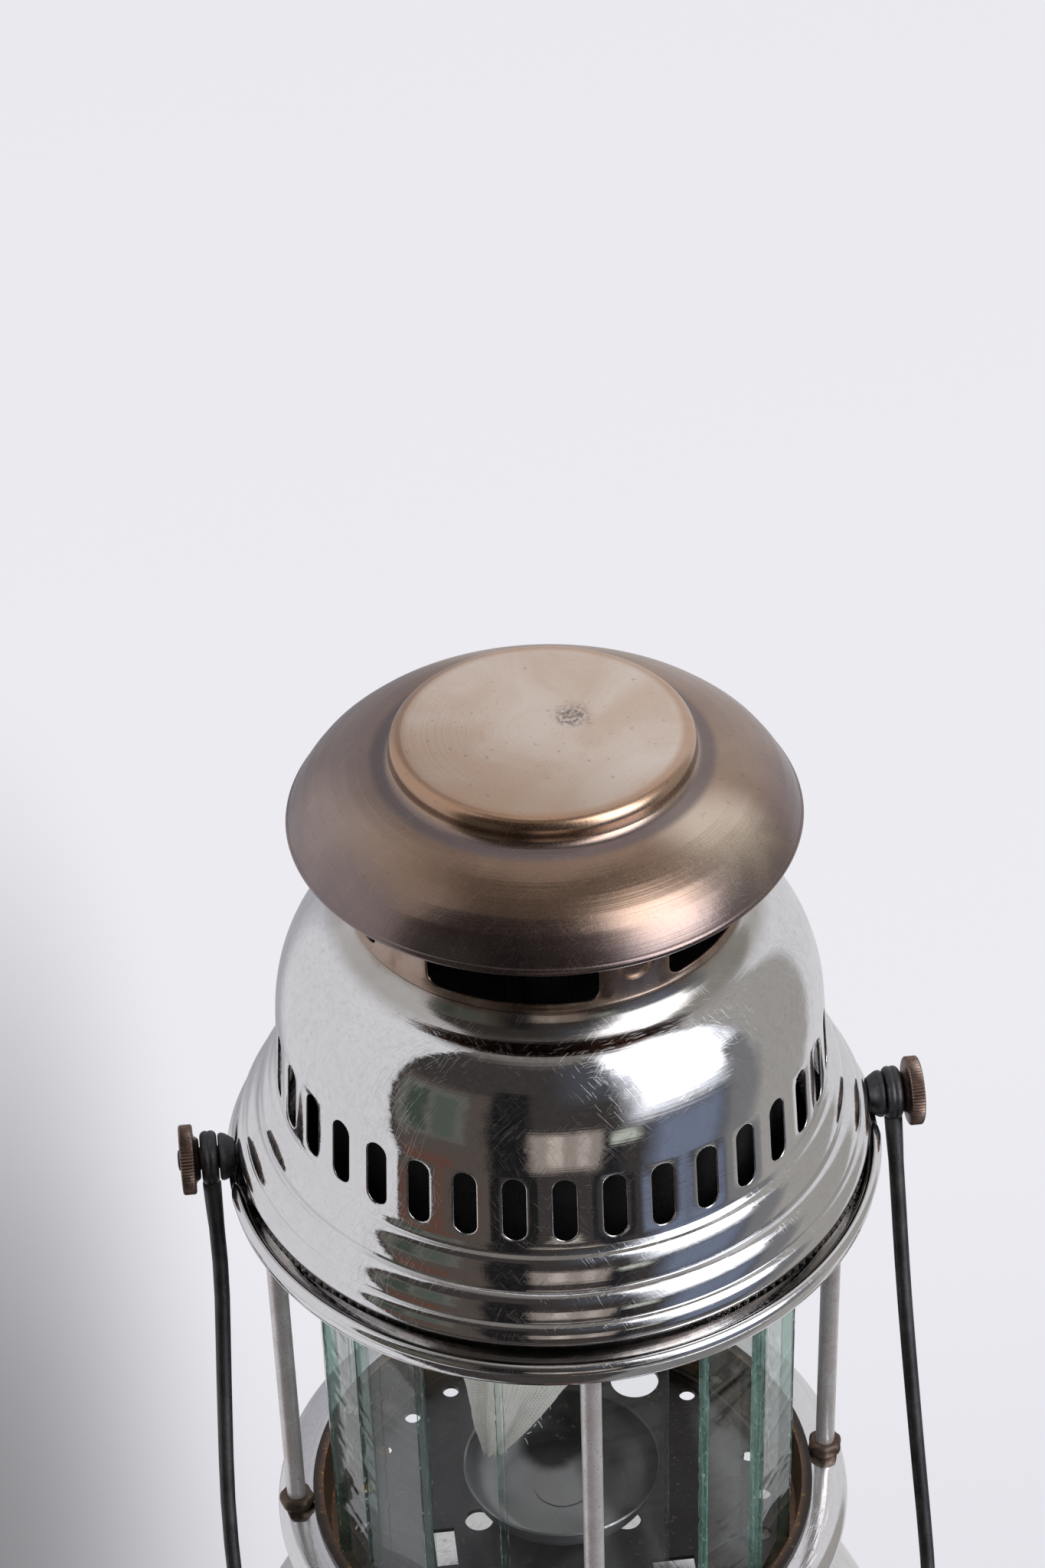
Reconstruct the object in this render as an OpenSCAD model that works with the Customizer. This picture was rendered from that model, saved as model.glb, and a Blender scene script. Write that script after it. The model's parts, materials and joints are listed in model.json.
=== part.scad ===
// Pressure lantern: fuel tank, glass cage, burner, vented hood and bail.
// Stands on the plane z = 0, centred on the z axis, with its control wheel towards -y.

/* [Fuel tank] */
// Outside diameter of the tank
tank_d = 165; // [155:1:175]
// Height of the tank's flat top above the floor
tank_top = 97; // [92:0.5:100]
// Wall of the pressed tank
tank_wall = 1.2; // [0.8:0.1:1.6]
// Radius of the tank's rounded shoulder
shoulder_r = 26; // [24:0.5:28]
// Radius of the tank's bottom corner
heel_r = 9; // [6:0.5:12]
// Height of the foot ring under the tank
foot_h = 6; // [5:0.5:8]
// Width of the foot ring's tread
foot_w = 5; // [4:0.5:7]
// Height of the seam bead round the tank's side
seam_z = 19; // [18:0.5:24]
// Lean of the filler and the pump from upright, in degrees
fitting_lean = 45; // [40:1:50]

/* [Filler] */
// Place of the filler round the tank, in degrees from +x
filler_place = 200; // [190:1:210]
// Radius of the filler's bore
filler_bore_r = 7.5; // [6.5:0.1:8]
// Wall of the filler's neck
filler_neck_wall = 2; // [1.6:0.1:2.2]
// Height of the filler's neck above the shoulder
filler_neck_h = 11; // [9:0.5:12]
// Outside radius of the filler cap
filler_cap_r = 14; // [13.5:0.1:15]
// Thickness of the filler's gasket
gasket_t = 1.2; // [1:0.1:1.6]
// Radius of the gauge's dial
dial_r = 9.7; // [9.2:0.1:10]
// Number of marks on the dial
dial_marks = 7; // [5:1:9]

/* [Pump] */
// Place of the pump round the tank, in degrees from +x
pump_place = -25; // [-32:1:-20]
// Inside radius of the pump's barrel
pump_bore_r = 7; // [6.5:0.1:7.5]
// Wall of the pump's barrel
pump_wall = 1; // [0.8:0.1:1.2]
// Length of the pump's barrel inside the tank
pump_len = 72; // [68:1:74]
// Radius of the pump's rod
pump_rod_r = 2.5; // [2:0.1:2.8]
// Radius of the pump's knob
pump_knob_r = 10; // [9:0.5:11]
// Length of the pump's knob
pump_knob_len = 11; // [9:0.5:13]

/* [Cage] */
// Number of glass strips to the left of the front
glass_left = 9; // [8:1:9]
// Number of glass strips to the right of the front
glass_right = 8; // [7:1:8]
// Turn of the last left-hand strip's edge, in degrees from the front
glass_left_angle = 20.2; // [19:0.1:22]
// Turn of the first right-hand strip's edge, in degrees from the front
glass_right_angle = 29.2; // [28:0.1:31]
// Distance from the axis to the outside of a glass strip
glass_out = 54.5; // [54:0.1:54.8]
// Thickness of a glass strip
glass_t = 3; // [2.5:0.1:3.2]
// Length of a glass strip
glass_len = 117; // [112:0.5:120]
// Gap between the glass strips at their inner corners
glass_gap = 0.5; // [0.4:0.1:1]
// Distance of the posts from the axis
post_place = 63.6; // [63:0.1:64]
// Radius of a post
post_r = 2.25; // [2:0.05:2.5]
// Height of the pan's floor above the floor
pan_z = 137; // [134:0.5:139]
// Height of the pan's glass ledge above its floor
ledge_h = 3; // [2.5:0.1:4]
// Height of the pan's lip above its floor
pan_lip_h = 12; // [11:0.5:13]
// Number of air holes round the pan
pan_holes = 24; // [18:1:24]
// Radius of the base ring at its roll's middle
base_roll_place = 65.1; // [64.8:0.1:65.5]
// Radius of the base ring's rolled edge
base_roll_r = 3; // [2.5:0.1:3.2]
// Wall of the cage's rings
ring_wall = 1.2; // [1:0.1:1.4]
// Number of windows in the stand under the cage
stand_windows = 7; // [5:2:9]
// Outside radius of the stand's foot on the tank
stand_foot_r = 56; // [54:0.5:56]
// Radius of the gallery ring over its lip
gallery_r = 72.5; // [72:0.1:73]
// Radius of the gallery ring's rolled lip
gallery_lip_r = 1.4; // [1.2:0.1:1.6]

/* [Hood] */
// Wall of the hood and its cap
hood_wall = 0.8; // [0.6:0.05:1]
// Number of vent slots round the hood
slot_count = 36; // [30:1:36]
// Width of a vent slot
slot_w = 4.8; // [4:0.1:5]
// Length of a vent slot
slot_len = 15.8; // [14:0.1:16]
// Turn of the vent slots, in degrees from the front
slot_turn = -3.9; // [-10:0.1:10]
// Radius of the hood's neck
neck_r = 41.8; // [41:0.1:42.5]
// Number of windows round the neck
neck_windows = 5; // [4:1:5]
// Width of a neck window, in degrees
neck_window_w = 50; // [44:1:52]
// Height of a neck window
neck_window_h = 18; // [16:0.5:20]
// Turn of the neck windows, in degrees from the front
neck_window_turn = -16.9; // [-30:0.1:30]
// Radius of the dimples between the neck windows
dimple_r = 4.2; // [3.5:0.1:4.5]
// Radius of the cap over its rim
cap_r = 53.6; // [53:0.1:54.5]
// Radius of the cap's raised disc
cap_disc_r = 31.6; // [31:0.1:32]
// Radius of the cap's rolled rim
cap_rim_r = 1; // [0.8:0.1:1.2]

/* [Burner] */
// Distance of the vaporiser behind the axis
vaporiser_place = 43; // [42:0.5:43.5]
// Radius of the vaporiser's tube
vaporiser_r = 3.5; // [3:0.1:3.8]
// Bore of the vaporiser's tube, as a radius
vaporiser_bore_r = 2.2; // [2:0.1:2.4]
// Radius of the cleaning needle
needle_r = 0.9; // [0.8:0.05:1]
// Throw of the cleaning needle's crank
crank_throw = 1; // [0.8:0.05:1]
// Height of the control spindle
spindle_z = 118; // [116:0.5:119]
// Radius of the control spindle
spindle_r = 2; // [1.8:0.1:2.2]
// Radius of the control wheel
wheel_r = 17; // [15:0.5:18]
// Distance of the control wheel's face in front of the axis
wheel_reach = 88; // [84:0.5:90]
// Radius of the spirit cup
cup_r = 23; // [21:0.5:24]
// Height of the spirit cup's rim above the pan
cup_rise = 17.5; // [16:0.5:18]
// Radius of the inner chimney
chimney_r = 51; // [50.5:0.1:51.2]
// Radius of the mixing tube
mixing_r = 5.5; // [5:0.1:5.7]
// Height of the nozzle's mouth
nozzle_z = 232; // [228:1:236]
// Radius of the nozzle
nozzle_r = 10.5; // [9.5:0.1:11.5]
// Height of the mantle's tip over the bottom of the spirit cup
mantle_rise = 7.5; // [3:0.5:20]
// Half width of the hanging mantle
mantle_r = 20; // [18:0.5:21]

/* [Bail] */
// Radius of the bail's wire
wire_r = 1.75; // [1.5:0.05:2]
// Reach of the bail from its pivots to the middle of its bow
bail_reach = 198; // [196:0.5:202]
// Spread of each leg over its length
bail_spread = 2; // [1:0.1:5]
// Lean of the hanging bail from straight down, in degrees
bail_lean = 25.5; // [25.5:0.1:27]
// Radius of the bail's studs
stud_r = 2.5; // [2.2:0.05:2.8]
// Distance of the bail's eyes from the axis
eye_place = 76; // [75.8:0.1:77.4]
// Thickness of the bail's eyes
eye_t = 3.7; // [3.2:0.1:4]
// Radius of the bail's eyes
eye_r = 6.5; // [6:0.1:7]
// Radius of the knurled nuts
nut_r = 7.7; // [7:0.1:8.5]
// Thickness of the knurled nuts
nut_t = 4.2; // [3:0.1:4.5]

/* [Fits] */
// Radial clearance of a running fit
running = 0.05; // [0.02:0.01:0.08]
// Gap at a seated or screwed joint
seat = 0.3; // [0.2:0.05:0.4]

/* [Hidden] */
glass_count = glass_left + glass_right;
function post_name(i) = str("frame_post_", i);
function glass_name(i) = str("glass_strip_", i < 10 ? "0" : "", i);

$fn = 72;
eps = 0.01;
front = -90;

// Tank
tank_r = tank_d / 2;
shoulder_c = [tank_r - shoulder_r, tank_top - shoulder_r];
foot_r = tank_r - heel_r;
foot_edge = 0.8;
seam_r = 1.2;
boss_h = 4;
boss_wall = 3;
boss_sink = 4;
valve_boss_r = 14;
valve_boss_h = 4;
valve_thread_r = 8;
valve_seat_z = tank_top + valve_boss_h;

// Filler, measured along its own axis from the shoulder's surface
filler_neck_r = filler_bore_r + filler_neck_wall;
filler_boss_r = filler_neck_r + boss_wall;
filler_knurls = 30;
gasket_h0 = filler_neck_h + seat;
cap_floor_h = gasket_h0 + gasket_t + seat;
dial_h = cap_floor_h + 2.8;
dial_t = 0.5;
mark_place = 7.4;
mark_len = 2.4;
mark_w = 0.5;
mark_deep = 0.2;
mark_sweep = 240;
mark_start = -30;
pivot_pin_r = 0.4;
pointer_h = dial_h + dial_t + 0.3;
pointer_t = 0.6;
pointer_len = 7;
lens_ledge = 0.7;
lens_h = dial_h + 2.4;
lens_t = 1.2;
filler_cap_h = lens_h + lens_t + 1;
screw_r = 1;
screw_h = cap_floor_h + 1.4;
screw_head_r = 3.2;
screw_head_len = 4;
screw_tip = 3;

// Pump, measured along its own axis from the shoulder's surface
pump_out_r = pump_bore_r + pump_wall;
pump_boss_r = pump_out_r + boss_wall;
pump_end_t = 1.5;
pump_flange_t = 2;
pump_cap_t = 2.7;
pump_cap_wall = 1.6;
pump_cap_drop = 3.4;
pump_cap_in_h = boss_h + pump_flange_t + seat;
pump_cap_h = pump_cap_in_h + pump_cap_t;
pump_knurls = 32;
knob_h = pump_cap_h + seat;
knob_socket = 6;
leather_t = 4.3;
leather_web = 1.5;
leather_h = 5 - pump_len;
leather_hole_r = 1.5;
rod_tip_r = 1.2;
rod_nut_r = 3.5;
valve_r = 5;
valve_len = 10;
valve_hole_r = 1.2;
delivery_r = 2.3;

// Cage
seats = 18;
seat_pitch = 360 / seats;
corner = cos(seat_pitch / 2);
base_z = pan_z + pan_lip_h;
ledge_z = pan_z + ledge_h;
glass_in = glass_out - glass_t;
glass_w = 2 * glass_in * tan(seat_pitch / 2) - glass_gap;
glass_z = ledge_z;
glass_top = glass_z + glass_len;
pan_in_r = glass_in - 0.5;
ledge_r = (glass_out + seat) / corner;
pan_slope = 1.4;
pan_wall_r = ledge_r + ring_wall + pan_slope;
pan_lip_r = pan_wall_r + 1.4;
air_hole_r = 2;
air_hole_place = pan_in_r - air_hole_r - 0.5;
air_hole_turn = -1.5;
big_hole = [22.9, 40.1];
big_hole_r = 6;
side_holes = [[-20.5, -0.5], [14.8, -5]];
side_hole_r = 3.4;
slot_holes = [[-29.3, -8, 5, 11.5], [24, -24.5, 10, 12]];
base_roll_z = base_z - base_roll_r;
base_in_r = pan_wall_r + seat;
stand_top_r = base_in_r + ring_wall + 0.8;
stand_window_w = 36;
stand_window_z = [tank_top + 10, base_z - 11];
gallery_z = glass_top + 1;
gallery_top_z = glass_top + seat;
gallery_floor_z = gallery_z - 4.5;
gallery_lip_place = gallery_r - gallery_lip_r;
gallery_lip_z = gallery_z + 0.2;
channel_r = ledge_r;
collar_r = 66;
collar_top = gallery_z + 12.9;
foot_head_r = 2.8;
foot_head_t = 1.6;
rivet_r = 1.8;
rivet_head_r = 3;
rivet_head_t = 1.2;
nut_af = 7.8;
nut_h = 4.5;

// Hood, with heights above the gallery's lip
skirt_r = 69.6;
skirt_low = 3.8;
skirt_steps = [[61, 22.8], [64, 15.5], [67.6, 9.8], [skirt_r, 7]];
band_low = [60.2, 24];
dome_c = [41, 40];
dome_a = [18, 27];
crease_r = 45.6;
neck_low = 71;
bead_r = 0.6;
bead_up = 72.5;
window_up = 74;
window_corner = 2.5;
neck_top = 101.3;
slot_up = 33.9;
dimple_up = 81;
dimple_deep = 0.9;
cap_rim_up = 91.8;
cap_slope = [[49, 99.5], [40, 104.5], [33.2, 107]];
cap_top_up = 112;
cap_edge_r = 1.6;

// Burner
barrel_r = 7;
socket_r = 6.5;
stem_r = 8;
pickup_r = 3;
pickup_gap = 3;
hex_af = 24;
hex_h = 6;
fuel_r = 1.2;
crank_r = 0.8;
crank_gap = 0.3;
crank_len = 4;
chamber_r = crank_throw + crank_r + 0.8;
crank_y = vaporiser_place - 2.5;
gland_y = -18;
gland_len = 8;
gland_af = 15;
wheel_t = 6;
wheel_hub_r = 5;
wheel_hub_len = 10;
wheel_lobes = 8;
wheel_lobe_deep = 1.6;
wheel_holes = 6;
wheel_hole_r = 2.6;
wheel_hole_place = 10.2;
wheel_bore_deep = 1.5;
socket_top = spindle_z + 11;
needle_play = 0.6;
union_af = 14;
union_h = 6;
tube_hole_r = vaporiser_r + 1.5;
jet_h = 5;
jet_body_r = 3.6;
jet_r = 0.5;
jet_web = 1.4;
needle_tip_r = 0.35;
crown_z = nozzle_z + 14;
jet_z = nozzle_z + 4;
mixing_z = jet_z + jet_h + 3;
mixing_wall = 1;
funnel_h = 5;
funnel_flare = 1;
bend_z = crown_z + 26;
crown_r = 22;
crown_t = 8;
crown_throat_r = 6;
arm_w = 6;
arm_t = 3;
nozzle_bore_r = 6;
nozzle_groove = 1.6;
cup_wall = 0.8;
cup_deep = 9;
cup_round = 4;
cup_stem_r = 6;
cup_rim_z = pan_z + cup_rise;
cup_floor_z = cup_rim_z - cup_deep;
chimney_wall = 0.8;
chimney_z = nozzle_z + 4;
chimney_top = chimney_z + 64;
chimney_flange_r = 57;
mantle_tip = [-14.6, 6];
mantle_tip_z = cup_floor_z + mantle_rise;
mantle_wall = 0.7;
mantle_rings = 18;
mantle_sides = 36;
mantle_pleats = 7;
mantle_flat = 0.42;

// Bail, in its own plane: across, then away from the pivots
pivot_z = gallery_z + 3.8;
stud_head_r = 4;
stud_head_t = 1.4;
boss_r = 5.25;
boss_in = skirt_r + 0.8;
eye_in = eye_place - eye_t / 2;
nut_in = eye_place + eye_t / 2 + seat;
nut_knurls = 48;
nut_knurl_deep = 0.5;
notch_r = stud_r + 0.7;
bail_leg = bail_reach - eye_place - bail_spread;
leg_turn = atan(bail_spread / bail_leg);
corner_r = 50;
corner_c = [eye_place + bail_spread, bail_leg] + corner_r * [-cos(leg_turn), sin(leg_turn)];
corner_d = bail_reach - corner_c[1];
bow_r = (pow(corner_c[0], 2) + pow(corner_d, 2) - pow(corner_r, 2)) / (2 * (corner_d - corner_r));
bow_c = bail_reach - bow_r;
corner_end = atan2(corner_c[1] - bow_c, corner_c[0]);
bend_lap = 0.5;
bow_lap = bend_lap / bow_r * 180 / PI;
bend_swell = 0.05;

// Points along an arc, in degrees
function arc(c, r, a0, a1, n = 8) =
  [for (i = [0:n]) let (a = a0 + (a1 - a0) * i / n) c + r * [cos(a), sin(a)]];
// Points up a rounded step from its upright foot q to its level head p, less the foot
function step_up(p, q, n = 4) =
  [for (i = [1:n]) let (a = 90 - 90 * i / n) [p[0] + (q[0] - p[0]) * sin(a), q[1] + (p[1] - q[1]) * cos(a)]];
// Points along a cubic curve
function curve(p, q, r, s, n = 10) =
  [for (i = [0:n]) along(p, q, r, s, i / n)];
function along(p, q, r, s, t) =
  let (u = 1 - t) u * u * u * p + 3 * u * u * t * q + 3 * u * t * t * r + t * t * t * s;
// The same points, raised by h
function raised(p, h) = [for (v = p) [v[0], v[1] + h]];
function unit(v) = v / norm(v);
function left_of(v) = [-v[1], v[0]];
function mitre(p, i) =
  let (n = len(p) - 1, j = max(i, 1), k = min(i, n - 1), a = unit(p[j] - p[j - 1]), b = unit(p[k + 1] - p[k]))
  left_of(a + b) / (1 + a * b);
// A sheet of thickness w to the left of its outside line
function sheet(p, w) = concat(p, [for (i = [len(p) - 1:-1:0]) p[i] + w * mitre(p, i)]);
// A toothed or lobed outline
function lobed(r, deep, n, steps = 4) =
  [for (i = [0:n * steps - 1]) let (a = 360 * i / (n * steps)) (r - deep * (1 - cos(a * n)) / 2)
    * [cos(a), sin(a)]];

// Outside of the tank drawn in by w, from the axis below to the axis above
function tank_line(w) = concat(
  [[0, foot_h + w]],
  arc([foot_r, foot_h + heel_r], heel_r - w, -90, 0),
  arc(shoulder_c, shoulder_r - w, 0, 90, 12),
  [[0, tank_top - w]]);

// Outside of the hood, from the skirt's edge to the neck's top
function hood_line() = raised(concat(
  [[skirt_r, skirt_low], skirt_steps[3]],
  step_up(skirt_steps[2], skirt_steps[3]),
  step_up(skirt_steps[1], skirt_steps[2]),
  step_up(skirt_steps[0], skirt_steps[1]),
  [band_low],
  [for (a = [4:10:74]) dome_c + [dome_a[0] * cos(a), dome_a[1] * sin(a)]],
  [for (a = [30:30:90]) [crease_r - (crease_r - neck_r) * sin(a), neck_low - 5 * cos(a)]],
  [[neck_r, neck_top]]), gallery_z);

// Outside of the cap, from its rim to the axis
function cap_line() = raised(concat(
  curve([cap_r - cap_rim_r, cap_rim_up + cap_rim_r - 0.3], cap_slope[0], cap_slope[1], cap_slope[2], 12),
  [[cap_disc_r + 0.3, cap_slope[2][1] + 0.6], [cap_disc_r, cap_slope[2][1] + 1.6]],
  arc([cap_disc_r - cap_edge_r, cap_top_up - cap_edge_r], cap_edge_r, 0, 90, 4),
  [[0, cap_top_up]]), gallery_z);

module turned(p) {
  rotate_extrude() polygon(p);
}

module tube(r_out, r_in, h) {
  difference() {
    cylinder(r = r_out, h = h);
    translate([0, 0, -eps]) cylinder(r = r_in, h = h + 2 * eps);
  }
}

// A hexagonal bar, measured across its flats
module hexagon(af, h) {
  cylinder(d = af / cos(30), h = h, $fn = 6);
}

// Children stand on the tank's shoulder, with z along the fitting's axis
module on_shoulder(place) {
  rotate([0, 0, place])
    translate([shoulder_c[0] + shoulder_r * sin(fitting_lean), 0,
      shoulder_c[1] + shoulder_r * cos(fitting_lean)])
      rotate([0, fitting_lean, 0]) children();
}

// Children lie with z along +y, at the spindle's height
module on_spindle(y) {
  translate([0, y, spindle_z]) rotate([-90, 0, 0]) children();
}

// Children lie with z pointing away from the axis to one side, at the pivots' height
module on_pivot(side, x) {
  translate([0, 0, pivot_z]) rotate([0, 90 * side, 0]) translate([0, 0, x]) children();
}

// Children are repeated round the axis
module around(n, turn = 0) {
  for (i = [0:n - 1]) rotate([0, 0, front + turn + 360 * i / n]) children();
}

module fount() {
  color("silver") difference() {
    union() {
      turned(tank_line(0));
      translate([0, 0, seam_z]) rotate_extrude() translate([tank_r - 0.2, 0]) circle(seam_r, $fn = 24);
      translate([0, 0, tank_top - eps]) cylinder(r = valve_boss_r, h = valve_boss_h + eps);
      on_shoulder(filler_place) translate([0, 0, -boss_sink]) {
        cylinder(r = filler_boss_r, h = boss_sink + boss_h);
        cylinder(r = filler_neck_r, h = boss_sink + filler_neck_h);
      }
      on_shoulder(pump_place) translate([0, 0, -boss_sink]) cylinder(r = pump_boss_r, h = boss_sink + boss_h);
    }
    turned(tank_line(tank_wall));
    translate([0, 0, tank_top - boss_sink]) cylinder(r = valve_thread_r, h = boss_sink + valve_boss_h + eps);
    on_shoulder(filler_place) translate([0, 0, -2 * boss_sink])
      cylinder(r = filler_bore_r, h = 2 * boss_sink + filler_neck_h + eps);
    on_shoulder(pump_place) translate([0, 0, -2 * boss_sink])
      cylinder(r = pump_out_r + seat, h = 2 * boss_sink + boss_h + eps);
  }
}

module foot_ring() {
  a = foot_r - foot_w;
  b = foot_r;
  color("dimgray") turned([[a, foot_edge], [a + foot_edge, 0], [b - foot_edge, 0], [b, foot_edge],
    [b, foot_h], [a, foot_h]]);
}

module filler_cap() {
  color("burlywood") on_shoulder(filler_place) difference() {
    translate([0, 0, boss_h + seat]) linear_extrude(filler_cap_h - boss_h - seat)
      polygon(lobed(filler_cap_r, 0.6, filler_knurls));
    translate([0, 0, boss_h]) cylinder(r = filler_neck_r + seat, h = cap_floor_h - boss_h);
    cylinder(r = screw_r, h = screw_h);
    translate([0, 0, dial_h]) cylinder(r = dial_r + seat, h = filler_cap_h);
    translate([0, 0, lens_h]) cylinder(r = dial_r + lens_ledge + seat, h = filler_cap_h);
    translate([0, 0, screw_h]) rotate([-90, 0, 0])
      cylinder(r = screw_r + running, h = 2 * filler_cap_r);
  }
}

module filler_gasket() {
  color("black") on_shoulder(filler_place) translate([0, 0, gasket_h0])
    tube(filler_neck_r, filler_bore_r, gasket_t);
}

module gauge_dial() {
  color("ivory") on_shoulder(filler_place) translate([0, 0, dial_h]) {
    difference() {
      cylinder(r = dial_r, h = dial_t);
      for (i = [0:dial_marks - 1]) rotate([0, 0, mark_start + mark_sweep * i / (dial_marks - 1)])
        translate([mark_place - mark_len / 2, -mark_w / 2, dial_t - mark_deep]) cube([mark_len, mark_w, 1]);
    }
    cylinder(r = pivot_pin_r, h = dial_t + 1.2);
  }
}

module gauge_pointer() {
  color("black") on_shoulder(filler_place) translate([0, 0, pointer_h]) rotate([0, 0, mark_start])
    difference() {
    union() {
      cylinder(r = 1.4, h = pointer_t);
      linear_extrude(pointer_t) polygon([[0, -0.6], [pointer_len, -0.15], [pointer_len, 0.15], [0, 0.6]]);
    }
    translate([0, 0, -1]) cylinder(r = pivot_pin_r + running, h = 3);
  }
}

module gauge_lens() {
  color("lightcyan", 0.4) on_shoulder(filler_place) translate([0, 0, lens_h])
    cylinder(r = dial_r + lens_ledge, h = lens_t);
}

module release_screw() {
  color("burlywood") on_shoulder(filler_place) translate([0, 0, screw_h]) rotate([-90, 0, 0]) {
    translate([0, 0, screw_tip]) cylinder(r = screw_r, h = filler_cap_r + 1 - screw_tip);
    translate([0, 0, filler_cap_r + seat]) linear_extrude(screw_head_len)
      polygon(lobed(screw_head_r, 0.4, 18));
  }
}

module pump_barrel() {
  color("goldenrod") on_shoulder(pump_place) difference() {
    union() {
      translate([0, 0, -pump_len]) cylinder(r = pump_out_r, h = pump_len + boss_h + eps);
      translate([0, 0, boss_h]) cylinder(r = pump_boss_r - seat, h = pump_flange_t);
    }
    translate([0, 0, pump_end_t - pump_len]) cylinder(r = pump_bore_r, h = pump_len + 2 * boss_h);
    translate([0, 0, -pump_len - 1]) cylinder(r = delivery_r, h = 4);
  }
}

module check_valve() {
  color("goldenrod") on_shoulder(pump_place) translate([0, 0, -pump_len - valve_len])
    tube(valve_r, valve_hole_r, valve_len);
}

module pump_cap() {
  color("burlywood") on_shoulder(pump_place) difference() {
    translate([0, 0, boss_h - pump_cap_drop]) linear_extrude(pump_cap_h - boss_h + pump_cap_drop)
      polygon(lobed(pump_boss_r + seat + pump_cap_wall, 0.5, pump_knurls));
    cylinder(r = pump_boss_r + seat, h = pump_cap_in_h);
    cylinder(r = pump_rod_r + running, h = 2 * pump_cap_h);
  }
}

module pump_rod() {
  rod_h0 = leather_h + leather_t;
  nut_h0 = leather_h + 0.9;
  nut_h1 = rod_h0 - leather_web - seat;
  color("gainsboro") on_shoulder(pump_place) {
    translate([0, 0, rod_h0]) cylinder(r = pump_rod_r, h = knob_h + knob_socket - seat - rod_h0);
    translate([0, 0, nut_h0]) cylinder(r = rod_tip_r, h = rod_h0 - nut_h0 + eps);
    translate([0, 0, nut_h0]) cylinder(r = rod_nut_r, h = nut_h1 - nut_h0);
  }
}

module pump_leather() {
  color("saddlebrown") on_shoulder(pump_place) translate([0, 0, leather_h]) difference() {
    cylinder(r = pump_bore_r - running, h = leather_t);
    translate([0, 0, -eps]) cylinder(r = pump_bore_r - 1.3, h = leather_t - leather_web);
    translate([0, 0, -eps]) cylinder(r = leather_hole_r, h = 2 * leather_t);
  }
}

module pump_knob() {
  color("black") on_shoulder(pump_place) translate([0, 0, knob_h]) difference() {
    turned(concat(
      [[0, 0], [pump_knob_r * 0.62, 0], [pump_knob_r * 0.62, 2]],
      arc([pump_knob_r - 2.6, pump_knob_len - 4.4], 2.6, -60, 60, 6),
      arc([0, pump_knob_len - 4 * pump_knob_r], 4 * pump_knob_r, 80, 90, 4)));
    translate([0, 0, -eps]) cylinder(r = pump_rod_r + seat, h = knob_socket);
  }
}

module valve_body() {
  foot_z = foot_h + tank_wall + pickup_gap;
  color("goldenrod") difference() {
    union() {
      translate([0, 0, foot_z]) cylinder(r = pickup_r, h = tank_top - foot_z);
      translate([0, 0, tank_top - boss_sink]) cylinder(r = valve_thread_r - seat,
        h = boss_sink + valve_boss_h + eps);
      translate([0, 0, valve_seat_z]) hexagon(hex_af, hex_h);
      translate([0, 0, valve_seat_z]) cylinder(r = stem_r, h = spindle_z - valve_seat_z);
      on_spindle(gland_y) cylinder(r = barrel_r, h = vaporiser_place + barrel_r - gland_y);
      translate([0, vaporiser_place, spindle_z]) cylinder(r = socket_r, h = socket_top - spindle_z);
    }
    translate([0, 0, foot_z - eps]) cylinder(r = fuel_r, h = spindle_z - foot_z);
    on_spindle(gland_y - 1) cylinder(r = spindle_r + running, h = crank_y - gland_y + 1);
    on_spindle(crank_y - eps) cylinder(r = chamber_r, h = crank_len + 1);
    translate([0, vaporiser_place, spindle_z]) cylinder(r = needle_r + needle_play, h = socket_top);
  }
}

module packing_nut() {
  color("goldenrod") on_spindle(gland_y - gland_len) difference() {
    hexagon(gland_af, gland_len);
    translate([0, 0, -1]) cylinder(r = spindle_r + running, h = gland_len + 2);
  }
}

module control_spindle() {
  color("gainsboro") {
    on_spindle(-wheel_reach + wheel_bore_deep + seat)
      cylinder(r = spindle_r, h = crank_y + wheel_reach - wheel_bore_deep - seat);
    translate([0, 0, -crank_throw]) on_spindle(crank_y - eps) cylinder(r = crank_r, h = crank_len, $fn = 32);
  }
}

module control_wheel() {
  color("firebrick") on_spindle(-wheel_reach) difference() {
    union() {
      linear_extrude(wheel_t) polygon(lobed(wheel_r, wheel_lobe_deep, wheel_lobes, 12));
      cylinder(r = wheel_hub_r, h = wheel_hub_len);
    }
    translate([0, 0, wheel_bore_deep]) cylinder(r = spindle_r + seat, h = wheel_hub_len);
    for (i = [0:wheel_holes - 1]) rotate([0, 0, 360 * i / wheel_holes])
      translate([wheel_hole_place, 0, -1]) cylinder(r = wheel_hole_r, h = wheel_t + 2, $fn = 32);
  }
}

module spirit_cup() {
  color("dimgray") {
    turned(sheet(concat([[0, cup_floor_z]], arc([cup_r - cup_round, cup_floor_z + cup_round], cup_round,
      -90, 0, 6),
      [[cup_r, cup_rim_z]]), cup_wall));
    translate([0, 0, pan_z]) cylinder(r = cup_stem_r, h = cup_floor_z - pan_z + cup_wall / 2);
  }
}

module vaporiser_tube() {
  color("goldenrod") translate([0, vaporiser_place, socket_top]) difference() {
    union() {
      cylinder(r = vaporiser_r, h = jet_z - socket_top);
      hexagon(union_af, union_h);
    }
    translate([0, 0, -1]) cylinder(r = vaporiser_bore_r, h = jet_z);
  }
}

module jet_nipple() {
  color("goldenrod") translate([0, vaporiser_place, jet_z]) difference() {
    cylinder(r = jet_body_r, h = jet_h);
    translate([0, 0, -1]) cylinder(r = needle_r + 0.4, h = jet_h - jet_web + 1);
    cylinder(r = jet_r, h = 2 * jet_h, $fn = 32);
  }
}

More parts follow.
